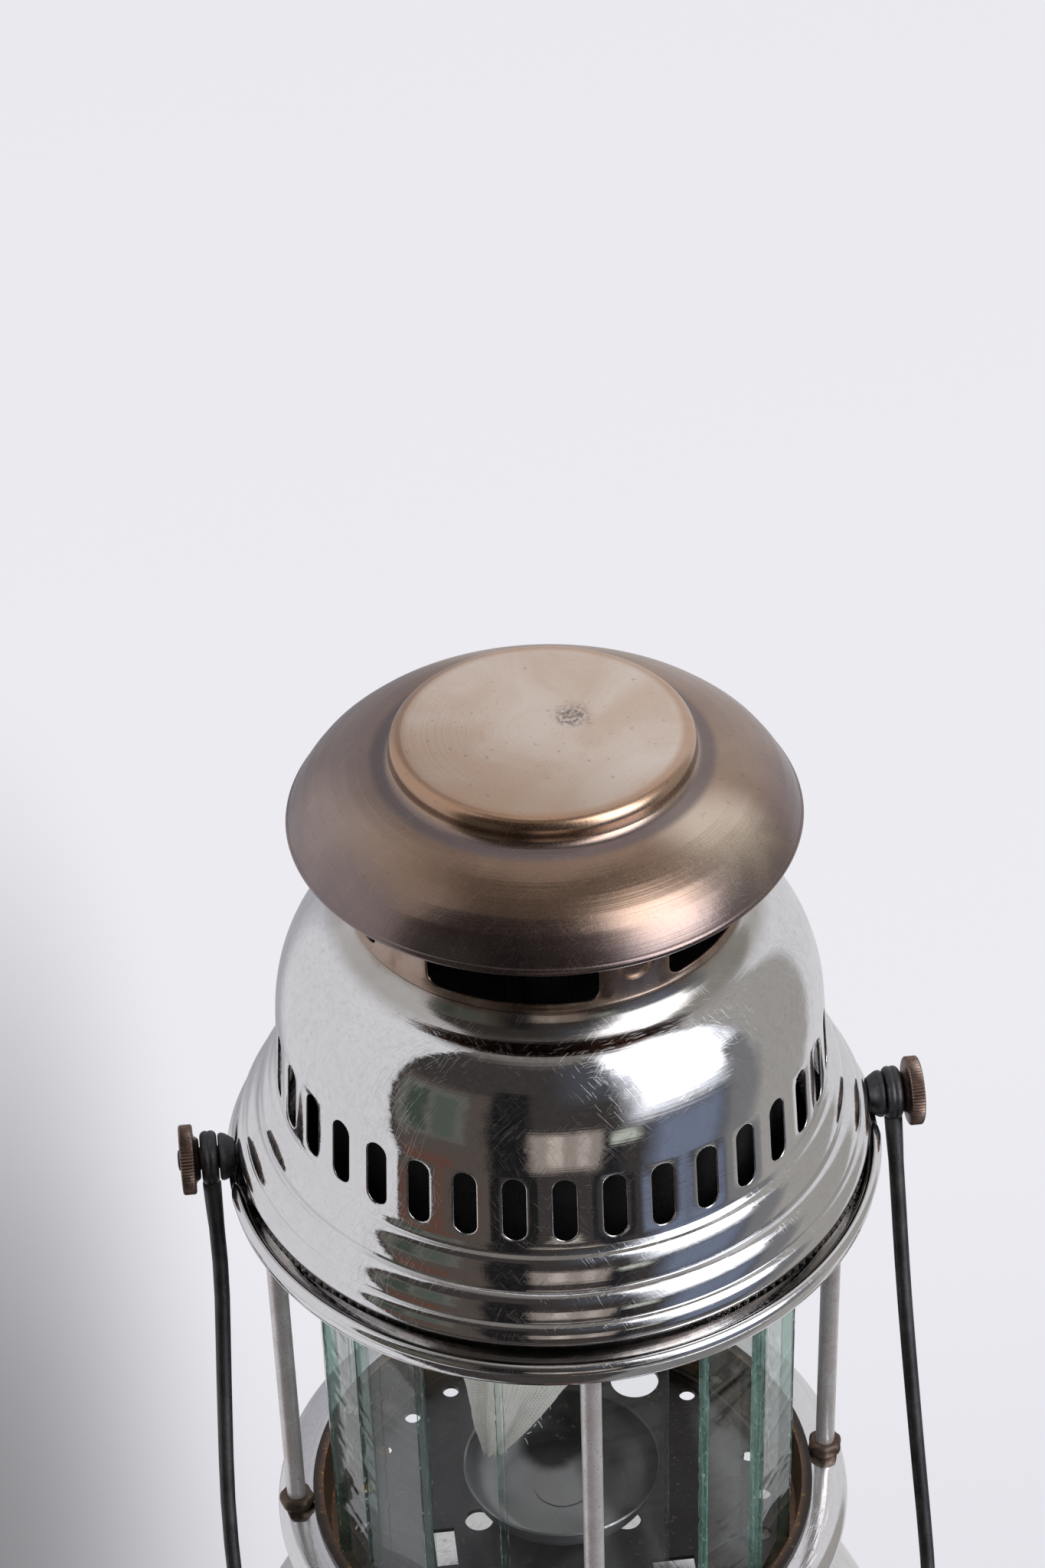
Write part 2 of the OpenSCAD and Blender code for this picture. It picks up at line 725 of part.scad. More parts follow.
module cleaning_needle() {
  needle_z = spindle_z - crank_throw + crank_r + crank_gap;
  step_z = jet_z + jet_h - jet_web - 2 * crank_throw - 0.4;
  color("gainsboro") translate([0, vaporiser_place, 0]) {
    translate([0, 0, needle_z]) cylinder(r = needle_r, h = step_z - needle_z, $fn = 32);
    translate([0, 0, step_z - eps]) cylinder(r = needle_tip_r, h = jet_z + jet_h - 0.4 - step_z, $fn = 32);
  }
}

// The mixing tube's outside drawn in by w
module mixing_form(w) {
  r = mixing_r - w;
  bend = vaporiser_place / 2;
  translate([0, 0, crown_z + crown_t]) cylinder(r = r, h = bend_z - crown_z - crown_t);
  translate([0, vaporiser_place, mixing_z]) cylinder(r = r, h = bend_z - mixing_z);
  translate([0, vaporiser_place, mixing_z]) cylinder(r1 = r + funnel_flare, r2 = r, h = funnel_h);
  translate([0, bend, bend_z]) rotate([90, 0, 90]) rotate_extrude(angle = 180) translate([bend, 0]) circle(r);
}

module mixing_tube() {
  color("darkgray") difference() {
    mixing_form(0);
    mixing_form(mixing_wall);
    translate([0, 0, crown_z + crown_t - 1]) cylinder(r = mixing_r - mixing_wall, h = 3);
    translate([0, vaporiser_place, mixing_z - 1]) cylinder(r = mixing_r - mixing_wall + funnel_flare,
      h = 1 + eps);
  }
}

module burner_crown() {
  reach = chimney_r - chimney_wall - seat;
  color("darkgray") difference() {
    union() {
      translate([0, 0, crown_z]) cylinder(r1 = nozzle_r + 1.5, r2 = crown_r, h = crown_t / 2);
      translate([0, 0, crown_z + crown_t / 2]) cylinder(r = crown_r, h = crown_t / 2);
      around(3) translate([0, -arm_w / 2, crown_z + crown_t - arm_t]) cube([reach - 0.4, arm_w, arm_t]);
    }
    translate([0, 0, crown_z - 1]) cylinder(r = crown_throat_r, h = crown_t + 2);
  }
}

// Outside of the nozzle, from its mouth up, enlarged by w
function nozzle_line(w) = let (a = nozzle_r + w, b = nozzle_r - nozzle_groove + w, z = nozzle_z) [
  [0, z - w], [a - 1, z - w], [a, z + 1], [a, z + 4], [b, z + 5.2], [b, z + 8], [a, z + 9.2],
    [a, crown_z], [0, crown_z]];

module ceramic_nozzle() {
  color("ivory") difference() {
    turned(nozzle_line(0));
    translate([0, 0, nozzle_z - 1]) cylinder(r = nozzle_bore_r, h = crown_z - nozzle_z + 2);
  }
}

// The mantle's ring at share t of the way down: centre, half width and level
mantle_top_z = nozzle_z + 9;
function mantle_side(t) = along([nozzle_r + 1, mantle_top_z], [mantle_r + 6, nozzle_z - 7],
  [mantle_r + 2, mantle_tip_z + 27], [1.6, mantle_tip_z], t);
function mantle_ring(t) = let (s = mantle_side(t), d = pow((mantle_top_z - s[1])
  / (mantle_top_z - mantle_tip_z), 3),
    fold = 0.13 * min(1, 4 * t * t))
  [for (k = [0:mantle_sides - 1]) let (a = 360 * k / mantle_sides,
      w = s[0] * (1 + fold * cos(mantle_pleats * a + 60 * t)))
    [mantle_tip[0] * d + w * cos(a), mantle_tip[1] * d + w * (1 - mantle_flat * t) * sin(a), s[1]]];

module mantle_bag() {
  n = mantle_sides;
  points = [for (i = [0:mantle_rings]) each mantle_ring(i / mantle_rings)];
  walls = [for (i = [0:mantle_rings - 1], k = [0:n - 1]) let (a = i * n + k, b = i * n + (k + 1) % n)
    each [[a, b, b + n], [a, b + n, a + n]]];
  lid = [for (k = [1:n - 2]) [0, k + 1, k]];
  last = mantle_rings * n;
  tip = [for (k = [1:n - 2]) [last, last + k, last + k + 1]];
  polyhedron(points, concat(walls, lid, tip));
}

module mantle() {
  color("linen") difference() {
    mantle_bag();
    turned(concat(nozzle_line(seat), [[0, crown_z]]));
  }
}

module inner_chimney() {
  color("dimgray") {
    translate([0, 0, chimney_z]) tube(chimney_r, chimney_r - chimney_wall, chimney_top - chimney_z);
    translate([0, 0, gallery_top_z + ring_wall]) tube(chimney_flange_r, chimney_r - chimney_wall / 2,
      chimney_wall);
  }
}

module slot_outline(w, len) {
  square([w, len - w], center = true);
  for (s = [-1, 1]) translate([0, s * (len - w) / 2]) circle(w / 2, $fn = 16);
}

// A rounded rectangle, w wide and h tall, with corners of radius c
module window_outline(w, h, c) {
  polygon([for (k = [0:3]) let (x = k == 0 || k == 3 ? 1 : -1, y = k < 2 ? 1 : -1)
    each arc([x * (w / 2 - c), y * (h / 2 - c)], c, 90 * k, 90 * k + 90, 4)]);
}

module hood() {
  window_w = 2 * neck_r * sin(neck_window_w / 2);
  dimple_turn = neck_window_turn + 180 / neck_windows;
  dimple_base = neck_r - dimple_deep - hood_wall;
  $fn = 40;
  color("lightgray") difference() {
    union() {
      turned(sheet(hood_line(), hood_wall));
      translate([0, 0, gallery_z + bead_up]) rotate_extrude() translate([neck_r, 0]) circle(bead_r, $fn = 16);
      around(neck_windows, dimple_turn) translate([dimple_base, 0, gallery_z + dimple_up]) rotate([0, 90, 0])
        cylinder(r = dimple_r, h = dimple_deep + hood_wall / 2);
    }
    around(neck_windows, dimple_turn) translate([dimple_base + hood_wall, 0, gallery_z + dimple_up])
      rotate([0, 90, 0]) cylinder(r1 = dimple_r - 1.4, r2 = dimple_r - 0.4, h = 3);
    around(neck_windows, neck_window_turn) translate([neck_r - 7, 0,
      gallery_z + window_up + neck_window_h / 2])
      rotate([90, 0, 90]) linear_extrude(12) window_outline(window_w, neck_window_h, window_corner);
    around(slot_count, slot_turn) translate([band_low[0] - 6, 0, gallery_z + slot_up]) rotate([90, 0, 90])
      linear_extrude(12) slot_outline(slot_w, slot_len);
    for (s = [-1, 1]) {
      on_pivot(s, skirt_r - 8) cylinder(r = notch_r, h = 12);
      translate([s * skirt_r, 0, pivot_z - 5]) cube([16, 2 * notch_r, 10], center = true);
    }
  }
}

module hood_cap() {
  color("rosybrown") {
    turned(sheet(cap_line(), hood_wall));
    translate([0, 0, gallery_z + cap_rim_up]) rotate_extrude() translate([cap_r - cap_rim_r, 0])
      circle(cap_rim_r, $fn = 24);
  }
}

module gallery_ring() {
  lip_in = gallery_lip_place - ring_wall / 2;
  color("silver") difference() {
    union() {
      translate([0, 0, gallery_floor_z]) tube(lip_in + ring_wall, channel_r, ring_wall);
      translate([0, 0, gallery_floor_z]) tube(lip_in + ring_wall, lip_in, gallery_lip_z - gallery_floor_z);
      translate([0, 0, gallery_lip_z]) rotate_extrude() translate([gallery_lip_place, 0])
        circle(gallery_lip_r, $fn = 24);
      translate([0, 0, gallery_floor_z]) tube(collar_r, collar_r - ring_wall, collar_top - gallery_floor_z);
      translate([0, 0, gallery_floor_z]) tube(channel_r + ring_wall, channel_r,
        gallery_top_z + ring_wall - gallery_floor_z);
      translate([0, 0, gallery_top_z]) tube(channel_r + ring_wall, chimney_r + seat, ring_wall);
    }
    around(4) translate([post_place, 0, gallery_floor_z - 1]) cylinder(r = rivet_r + seat, h = 4, $fn = 32);
    for (s = [-1, 1]) {
      on_pivot(s, collar_r - 4) cylinder(r = stud_r + seat, h = 6);
      on_pivot(s, boss_in - seat) cylinder(r = boss_r + seat, h = 4);
    }
  }
}

module frame_post(i) {
  low_z = base_z - ring_wall;
  rivet_z = gallery_floor_z + ring_wall;
  color("lightgray") rotate([0, 0, front + 90 * (i - 1)]) translate([post_place, 0, 0]) {
    translate([0, 0, low_z - eps]) cylinder(r = post_r, h = gallery_floor_z - low_z + eps, $fn = 32);
    translate([0, 0, low_z - foot_head_t]) cylinder(r = foot_head_r, h = foot_head_t, $fn = 32);
    translate([0, 0, gallery_floor_z - eps]) cylinder(r = rivet_r, h = ring_wall + 2 * eps, $fn = 32);
    translate([0, 0, rivet_z]) cylinder(r = rivet_head_r - 1.5, h = rivet_head_t, $fn = 32);
  }
}

module base_ring() {
  roll = arc([base_roll_place, base_roll_z], base_roll_r, -50, 90, 8);
  color("silver") difference() {
    union() {
      turned(sheet(concat(roll, [[base_in_r, base_z]]), ring_wall));
      turned(sheet([[stand_foot_r - 5, tank_top], [stand_foot_r, tank_top],
        [stand_top_r, base_z - ring_wall / 2]], ring_wall));
    }
    around(4) translate([post_place, 0, base_z - 2]) cylinder(r = post_r + seat, h = 3, $fn = 32);
    around(stand_windows) rotate([0, 0, -stand_window_w / 2]) translate([0, 0, stand_window_z[0]])
      rotate_extrude(angle = stand_window_w) translate([stand_foot_r - 8, 0])
        square([16, stand_window_z[1] - stand_window_z[0]]);
  }
}

module base_plate() {
  floor_r = pan_in_r + ring_wall;
  wall_r = ledge_r + ring_wall;
  clear = air_hole_r + big_hole_r + 1;
  color("dimgray") difference() {
    turned(sheet([[0, pan_z - ring_wall], [floor_r, pan_z - ring_wall], [floor_r, ledge_z - ring_wall],
      [wall_r, ledge_z - ring_wall], [pan_wall_r, base_z], [pan_lip_r, base_z]], ring_wall));
    for (i = [0:pan_holes - 1]) let (a = front + air_hole_turn + 360 * i / pan_holes,
      p = air_hole_place * [cos(a), sin(a)])
      if (norm(p - big_hole) > clear && norm(p - [0, vaporiser_place]) > clear)
        translate([p[0], p[1], pan_z - 2]) cylinder(r = air_hole_r, h = 3, $fn = 32);
    translate([big_hole[0], big_hole[1], pan_z - 2]) cylinder(r = big_hole_r, h = 3);
    for (p = side_holes) translate([p[0], p[1], pan_z - 2]) cylinder(r = side_hole_r, h = 3);
    for (p = slot_holes) translate([p[0], p[1], pan_z - 1]) cube([p[2], p[3], 3], center = true);
    translate([0, vaporiser_place, pan_z - 2]) cylinder(r = tube_hole_r, h = 3);
  }
}

module post_nuts() {
  color("sienna") around(4) translate([post_place, 0, base_z]) difference() {
    rotate([0, 0, 30]) hexagon(nut_af, nut_h);
    translate([0, 0, -1]) cylinder(r = post_r + seat, h = nut_h + 2, $fn = 32);
  }
}

// Half of the bail's wire, in its plane, with x across and y away from the pivots
module bail_half() {
  leg = norm([bail_spread, bail_leg]);
  translate([eye_place, 0, 0]) rotate([-90, 0, -leg_turn]) translate([0, 0, eye_r - 1])
    cylinder(r = wire_r, h = leg - eye_r + 1 + bend_lap);
  translate([corner_c[0], corner_c[1], 0]) rotate([0, 0, -leg_turn])
    rotate_extrude(angle = corner_end + leg_turn)
    translate([corner_r, 0]) circle(wire_r + bend_swell);
  translate([eye_in, 0, 0]) rotate([0, 90, 0]) cylinder(r = eye_r, h = eye_t);
}

module bail() {
  color("dimgray") translate([0, 0, pivot_z]) rotate([-90 - bail_lean, 0, 0]) difference() {
    union() {
      bail_half();
      rotate([0, 180, 0]) bail_half();
      translate([0, bow_c, 0]) rotate([0, 0, corner_end - bow_lap])
        rotate_extrude(angle = 180 - 2 * corner_end + 2 * bow_lap) translate([bow_r, 0]) circle(wire_r);
    }
    for (s = [-1, 1]) rotate([0, 90 * s, 0]) translate([0, 0, eye_in - 1]) cylinder(r = stud_r + running,
      h = eye_t + 2);
  }
}

module bail_stud(side) {
  head_x = sqrt(pow(collar_r - ring_wall, 2) - pow(stud_head_r, 2)) - stud_head_t;
  color("dimgray") {
    on_pivot(side, head_x) cylinder(r = stud_head_r, h = stud_head_t);
    on_pivot(side, head_x) cylinder(r = stud_r, h = nut_in + nut_t - head_x + 0.6);
    on_pivot(side, boss_in) cylinder(r = boss_r, h = eye_in - seat - boss_in);
  }
}

module bail_nut(side) {
  color("saddlebrown") on_pivot(side, nut_in) difference() {
    linear_extrude(nut_t) polygon(lobed(nut_r, nut_knurl_deep, nut_knurls));
    translate([0, 0, -1]) cylinder(r = stud_r + running, h = nut_t + 2);
  }
}

// One glass strip, standing in its seat
module glass_strip(i) {
  turn = i <= glass_left ? glass_left_angle - seat_pitch * (i - 0.5)
                         : glass_right_angle + seat_pitch * (i - glass_left - 0.5);
  color("paleturquoise", 0.4) rotate([0, 0, front + turn])
    translate([glass_in, -glass_w / 2, glass_z]) cube([glass_t, glass_w, glass_len]);
}

fount();
foot_ring();
filler_cap();
filler_gasket();
gauge_dial();
gauge_pointer();
gauge_lens();
release_screw();
pump_barrel();
pump_cap();
pump_rod();
pump_knob();
pump_leather();
check_valve();
valve_body();
packing_nut();
control_spindle();
control_wheel();
spirit_cup();
vaporiser_tube();
jet_nipple();
cleaning_needle();
mixing_tube();
burner_crown();
ceramic_nozzle();
mantle();
inner_chimney();
hood();
hood_cap();
gallery_ring();
base_ring();
base_plate();
post_nuts();
bail();
bail_stud(-1);  // bail_stud_left
bail_stud(1);  // bail_stud_right
bail_nut(-1);  // bail_nut_left
bail_nut(1);  // bail_nut_right
for (i = [1:4]) frame_post(i);
for (i = [1:glass_count]) glass_strip(i);
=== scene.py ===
import json
import math
import random

import bmesh
import bpy
from mathutils import Matrix, Vector, geometry, noise

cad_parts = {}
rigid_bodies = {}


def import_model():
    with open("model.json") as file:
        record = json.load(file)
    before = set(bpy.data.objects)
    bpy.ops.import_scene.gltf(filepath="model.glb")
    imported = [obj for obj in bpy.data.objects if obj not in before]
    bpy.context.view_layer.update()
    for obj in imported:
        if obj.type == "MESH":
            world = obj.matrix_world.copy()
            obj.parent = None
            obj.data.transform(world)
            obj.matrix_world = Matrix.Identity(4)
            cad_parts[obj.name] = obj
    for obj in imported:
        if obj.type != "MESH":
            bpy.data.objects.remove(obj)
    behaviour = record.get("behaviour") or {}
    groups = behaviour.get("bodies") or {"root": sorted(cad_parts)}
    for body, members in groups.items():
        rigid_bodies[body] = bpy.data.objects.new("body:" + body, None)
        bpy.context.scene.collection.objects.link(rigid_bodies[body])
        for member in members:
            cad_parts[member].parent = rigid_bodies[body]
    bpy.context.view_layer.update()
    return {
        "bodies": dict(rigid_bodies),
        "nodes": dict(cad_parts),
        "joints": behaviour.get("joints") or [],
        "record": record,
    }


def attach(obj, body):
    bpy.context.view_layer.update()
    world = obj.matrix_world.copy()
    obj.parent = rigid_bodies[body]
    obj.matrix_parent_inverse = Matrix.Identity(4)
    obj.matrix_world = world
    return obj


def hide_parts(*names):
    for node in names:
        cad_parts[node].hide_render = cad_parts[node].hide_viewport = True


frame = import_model()

MM = 0.001
UP = Vector((0, 0, 1))
FRONT = -90.0

# Levels and radii in mm, as the solids have them
LIP = 258.0
PIVOT = 261.8
BASE = 149.0
PAN = 137.0
EYE = 76.0
FULL_TURN = 180
scene = bpy.context.scene


# Camera


def camera_basis(pitch, yaw, roll, turn):
    """The photograph's camera axes, with the lantern's front turned from the camera by turn."""
    p, y, r = (math.radians(v) for v in (pitch, yaw, roll))
    ahead = Vector((math.sin(y) * math.cos(p), math.cos(y) * math.cos(p), -math.sin(p)))
    right = Vector((math.cos(y), -math.sin(y), 0))
    over = right.cross(ahead)
    right, over = (math.cos(r) * right + math.sin(r) * over, -math.sin(r) * right + math.cos(r) * over)
    basis = Matrix((right, over, -ahead)).transposed()
    return Matrix.Rotation(-math.radians(turn), 3, "Z") @ basis


def add_camera():
    turn = 5.84
    data = bpy.data.cameras.new("camera")
    data.sensor_width = 36.0
    data.lens = 36.0 * 4836 / 2048
    data.clip_start, data.clip_end = 0.05, 20
    cam = bpy.data.objects.new("camera", data)
    scene.collection.objects.link(cam)
    place = Matrix.Rotation(-math.radians(turn), 3, "Z") @ Vector((0, -609.5, LIP + 556.05))
    cam.matrix_world = Matrix.Translation(place * MM) @ camera_basis(36.91, -0.41, -1.80, turn).to_4x4()
    scene.camera = cam


# Materials


class Wire:
    """A number on a socket, so that shader maths reads as arithmetic."""

    def __init__(self, look, socket):
        self.look = look
        self.socket = socket

    def maths(self, operation, *values):
        return self.look.node("ShaderNodeMath", {"operation": operation}, values)

    def __add__(self, other):
        return self.maths("ADD", self, other)

    def __sub__(self, other):
        return self.maths("SUBTRACT", self, other)

    def __rsub__(self, other):
        return self.maths("SUBTRACT", other, self)

    def __mul__(self, other):
        return self.maths("MULTIPLY", self, other)

    def __truediv__(self, other):
        return self.maths("DIVIDE", self, other)

    def __pow__(self, other):
        return self.maths("POWER", self, other)

    __radd__ = __add__
    __rmul__ = __mul__

    def clamp(self):
        return self.look.node("ShaderNodeClamp", {}, {"Value": self})

    def ramp(self, low, high, smooth=True):
        """0 at low and 1 at high."""
        kind = "SMOOTHSTEP" if smooth else "LINEAR"
        return self.look.node("ShaderNodeMapRange", {"interpolation_type": kind},
                              {"Value": self, "From Min": low, "From Max": high})

    def band(self, low, high, soft):
        """1 between low and high, fading over soft on either side."""
        return self.ramp(low - soft, low + soft) * (1 - self.ramp(high - soft, high + soft))


class Look:
    """One material and the nodes that make it."""

    def __init__(self, name, tree=None):
        if tree is None:
            self.material = bpy.data.materials.new(name)
            self.material.use_nodes = True
            tree = self.material.node_tree
        self.tree = tree
        self.tree.nodes.clear()

    def node(self, kind, settings, values, output=0):
        made = self.tree.nodes.new(kind)
        for key, value in settings.items():
            setattr(made, key, value)
        pairs = values.items() if isinstance(values, dict) else enumerate(values)
        for key, value in pairs:
            socket = made.inputs[key]
            if isinstance(value, Wire):
                self.tree.links.new(value.socket, socket)
            elif value is not None:
                socket.default_value = value
        return Wire(self, made.outputs[output])

    def place(self):
        """The point on the piece, in metres, and its three numbers in mm."""
        point = self.node("ShaderNodeTexCoord", {}, {}, "Object")
        scaled = self.node("ShaderNodeVectorMath", {"operation": "SCALE"}, {0: point, "Scale": 1000.0})
        return scaled, [self.node("ShaderNodeSeparateXYZ", {}, {0: scaled}, k) for k in range(3)]

    def vector(self, x, y, z):
        return self.node("ShaderNodeCombineXYZ", {}, (x, y, z))

    def noise(self, vector, scale, detail=3.0, rough=0.5, twist=0.0):
        return self.node("ShaderNodeTexNoise", {},
                         {"Vector": vector, "Scale": scale, "Detail": detail, "Roughness": rough, "Distortion": twist})

    def cells(self, vector, scale, feature="F1", output="Distance"):
        return self.node("ShaderNodeTexVoronoi", {"feature": feature}, {"Vector": vector, "Scale": scale}, output)

    def mix(self, share, first, second):
        """A colour, first where share is 0 and second where it is 1."""
        made = self.tree.nodes.new("ShaderNodeMix")
        made.data_type = "RGBA"
        for key, value in ((0, share), (6, first), (7, second)):
            if isinstance(value, Wire):
                self.tree.links.new(value.socket, made.inputs[key])
            elif key == 0:
                made.inputs[key].default_value = value
            else:
                made.inputs[key].default_value = (*value, 1)
        return Wire(self, made.outputs[2])

    def maths_sine(self, angle):
        return self.node("ShaderNodeMath", {"operation": "SINE"}, (angle,))

    def bump(self, height, depth, strength=1.0):
        """A normal from a height of 0 to 1, depth in mm."""
        return self.node("ShaderNodeBump", {}, {"Height": height, "Distance": depth * MM, "Strength": strength})

    def surface(self, **sockets):
        """The principled shader, with sockets named in lower case with underscores."""
        names = {"base": "Base Color", "rough": "Roughness", "metal": "Metallic", "normal": "Normal",
                 "coat": "Coat Weight", "coat_rough": "Coat Roughness", "ior": "IOR", "alpha": "Alpha",
                 "sheen": "Sheen Weight", "sheen_rough": "Sheen Roughness", "under": "Subsurface Weight",
                 "specular": "Specular IOR Level", "through": "Transmission Weight"}
        values = {names[k]: (*v, 1) if isinstance(v, tuple) else v for k, v in sockets.items()}
        return self.node("ShaderNodeBsdfPrincipled", {}, values)

    def finish(self, shader):
        out = self.tree.nodes.new("ShaderNodeOutputMaterial")
        self.tree.links.new(shader.socket, out.inputs["Surface"])
        return self.material


def scratches(look, place, x, y, z, fine=1.0):
    """Thin lines round the axis and short ones across it, 0 on bare metal and 1 in a scratch."""
    reach = (x * x + y * y) ** 0.5
    rings = look.noise(look.vector(reach * 2.3 * fine, z * 2.3 * fine, (x * 0.02)), 1.0, 2.0)
    warp = look.noise(place, 0.05, 2.0)
    lines = []
    for k, (a, b) in enumerate(((0.9, 0.35), (-0.5, 0.8), (0.25, -1.0))):
        across = (x * a + y * b + z * (0.6 - 0.4 * k)) * 8.0 + warp * 60
        along = (y * a - x * b + z * 0.3) * 0.2
        lines.append(look.noise(look.vector(across, along, 7.0 * k), 1.0 * fine, 1.0).ramp(0.66, 0.74))
    total = lines[0] + lines[1] + lines[2]
    return rings, total.clamp()


def turn_of(look, x, y):
    """Degrees round the lantern, from its front to its right, -180 to 180."""
    return look.node("ShaderNodeMath", {"operation": "ARCTAN2"}, (x, 0 - y)) * (180 / math.pi)


def chrome(name, tint=(0.84, 0.84, 0.85), rough=0.03, stain=None, dull=0.0):
    """Polished plate with rubbed lines, faint dust and, where stain gives it, a coloured zone, such as the neck's heat
    stain and the darker brown in the gallery's groove.
    """
    look = Look(name)
    place, (x, y, z) = look.place()
    rings, lines = scratches(look, place, x, y, z)
    cloud = look.noise(place, 0.09, 4.0, 0.6)
    speck = look.noise(place, 1.6, 2.0).ramp(0.7, 0.8)
    grime = look.noise(place, 0.35, 5.0, 0.65).ramp(0.56, 0.74)
    base = look.mix(cloud.ramp(0.35, 0.75) * 0.25, tint, tuple(c * 0.9 for c in tint))
    base = look.mix(lines * 0.10, base, (0.55, 0.55, 0.57))
    base = look.mix(grime * (0.08 + dull), base, (0.33, 0.30, 0.27))
    level = rough + cloud.ramp(0.4, 0.8) * 0.03 + lines * 0.06 + speck * 0.1 + grime * dull
    level = level + rings.ramp(0.5, 0.75) * 0.03
    if stain:
        share, colour, haze = stain(look, place, x, y, z)
        base = look.mix(share, base, colour)
        level = level + share * haze
    height = rings * 0.5 + lines * -0.12 + cloud * 0.8 + grime * 0.3
    return look.finish(look.surface(base=base, rough=level, metal=1.0, normal=look.bump(height, 0.03)))


def neck_stain(look, place, x, y, z):
    """Olive on the neck's fillet, copper brown round its windows, and a little dirt at the slots' edges."""
    drift = look.noise(place, 0.07, 4.0, 0.6, 0.6)
    fillet = z.ramp(LIP + 65.0, LIP + 67.2) * (0.45 + drift * 0.4)
    high = (z + drift * 5).ramp(LIP + 72, LIP + 76)
    slots = ((turn_of(look, x, y) + 3.9) / 10 + 40)
    nearest = look.node("ShaderNodeMath", {"operation": "PINGPONG"}, (slots, 0.5))
    across = nearest * 10.4
    along = look.node("ShaderNodeMath", {"operation": "ABSOLUTE"}, (z - (LIP + 33.9),)) - 5.5
    along = look.node("ShaderNodeMath", {"operation": "MAXIMUM"}, (along, 0.0))
    reach = (across * across + along * along) ** 0.5
    edge = (1 - reach.ramp(2.4, 2.9)) * look.noise(place, 0.6, 3.0).ramp(0.42, 0.62) * 0.5
    share = look.node("ShaderNodeMath", {"operation": "MAXIMUM"}, (fillet + high * 0.5, edge)).clamp()
    colour = look.mix(drift.ramp(0.35, 0.62), (0.26, 0.16, 0.115), (0.42, 0.32, 0.26))
    colour = look.mix(1 - high, colour, (0.36, 0.33, 0.28))
    colour = look.mix(edge, colour, (0.16, 0.10, 0.07))
    return share, colour, 0.2


def groove_darkening(look, place, x, y, z):
    """Darker brown between the hood's skirt and the rolled lip."""
    reach = (x * x + y * y) ** 0.5
    drift = look.noise(place, 0.12, 4.0, 0.6)
    share = (1 - (reach + drift * 0.5).ramp(70.9, 71.7)) * (reach + drift).ramp(66.6, 67.6) * (0.45 + drift * 0.3)
    colour = look.mix(drift.ramp(0.4, 0.6), (0.18, 0.14, 0.105), (0.34, 0.27, 0.21))
    return share.clamp(), colour, 0.12


def cap_finish():
    """Nickel that heat has turned brown on the disc and purple-grey towards the rim, with painted shade on the slope's
    front, painted light on its sides and a painted highlight at its right front.
    """
    look = Look("cap_stained")
    place, (x, y, z) = look.place()
    rings, lines = scratches(look, place, x, y, z)
    reach = (x * x + y * y) ** 0.5
    drift = look.noise(place, 0.045, 4.0, 0.55, 0.8)
    patchy = look.noise(place, 0.16, 5.0, 0.6, 0.3)
    fine = look.noise(place, 2.4, 3.0)
    far = reach + (drift - 0.5) * 12
    broad = look.noise(place, 0.022, 2.0, 0.5, 0.5)
    disc = look.mix(drift.ramp(0.3, 0.7), (0.78, 0.61, 0.49), (0.90, 0.79, 0.69))
    disc = look.mix((0 - x * 0.8 - y).ramp(-8, 38) * 0.7, disc, (0.44, 0.29, 0.19))
    slope = look.mix(broad.ramp(0.35, 0.65), (0.33, 0.215, 0.155), (0.42, 0.30, 0.22))
    slope = look.mix(patchy.ramp(0.5, 0.75) * 0.35, slope, (0.50, 0.37, 0.26))
    # Painted shade: the slope's front is darker, standing for the dark room it reflects.
    slope = look.mix((0 - y * 0.85 - x * 0.5).ramp(20, 46) * 0.5, slope, (0.22, 0.14, 0.10))
    # Painted light: the slope's right and left sides are lighter purple-grey, by their place round the cap.
    slope = look.mix((x + y * 0.4).ramp(24, 50) * 0.6, slope, (0.42, 0.34, 0.31))
    slope = look.mix((y * 0.3 - x).ramp(20, 46) * 0.6, slope, (0.42, 0.36, 0.35))
    # Painted highlight: a broad lighter patch on the right front of the slope, standing for a highlight.
    sheen = (((x - 33) / 15) ** 2 + ((y + 27) / 13) ** 2) ** 0.5 + (drift - 0.5) * 0.5
    slope = look.mix((1 - sheen.ramp(0.2, 1.3)) * 0.9, slope, (0.90, 0.76, 0.62))
    base = look.mix(reach.ramp(31.0, 33.0), disc, slope)
    base = look.mix(reach.band(28.6, 31.8, 1.0) * 0.6, base, (0.50, 0.28, 0.16))
    base = look.mix(reach.band(31.9, 35.5, 1.0) * 0.8, base, (0.21, 0.175, 0.18))
    base = look.mix(far.ramp(43, 55) * 0.8, base, (0.21, 0.17, 0.18))
    spot = ((x - 6.3) * (x - 6.3) + (y - 3.8) * (y - 3.8)) ** 0.5 + (patchy - 0.5) * 7
    scar = (1 - spot.ramp(0.5, 5.5)) * look.noise(place, 0.9, 5.0, 0.7).ramp(0.42, 0.6)
    base = look.mix(scar * 0.85, base, (0.16, 0.155, 0.165))
    marks = look.noise(place, 0.7, 4.0).ramp(0.64, 0.72) * 0.35
    base = look.mix(marks, base, (0.24, 0.15, 0.11))
    base = look.mix(lines * 0.22, base, (0.68, 0.55, 0.45))
    rough = 0.19 + drift * 0.10 + fine.ramp(0.4, 0.7) * 0.05 + scar * 0.2 + lines * 0.06
    height = rings * 0.6 + drift * 1.6 + scar * -1.2 + fine * 0.15
    return look.finish(look.surface(base=base, rough=rough, metal=1.0, normal=look.bump(height, 0.05)))


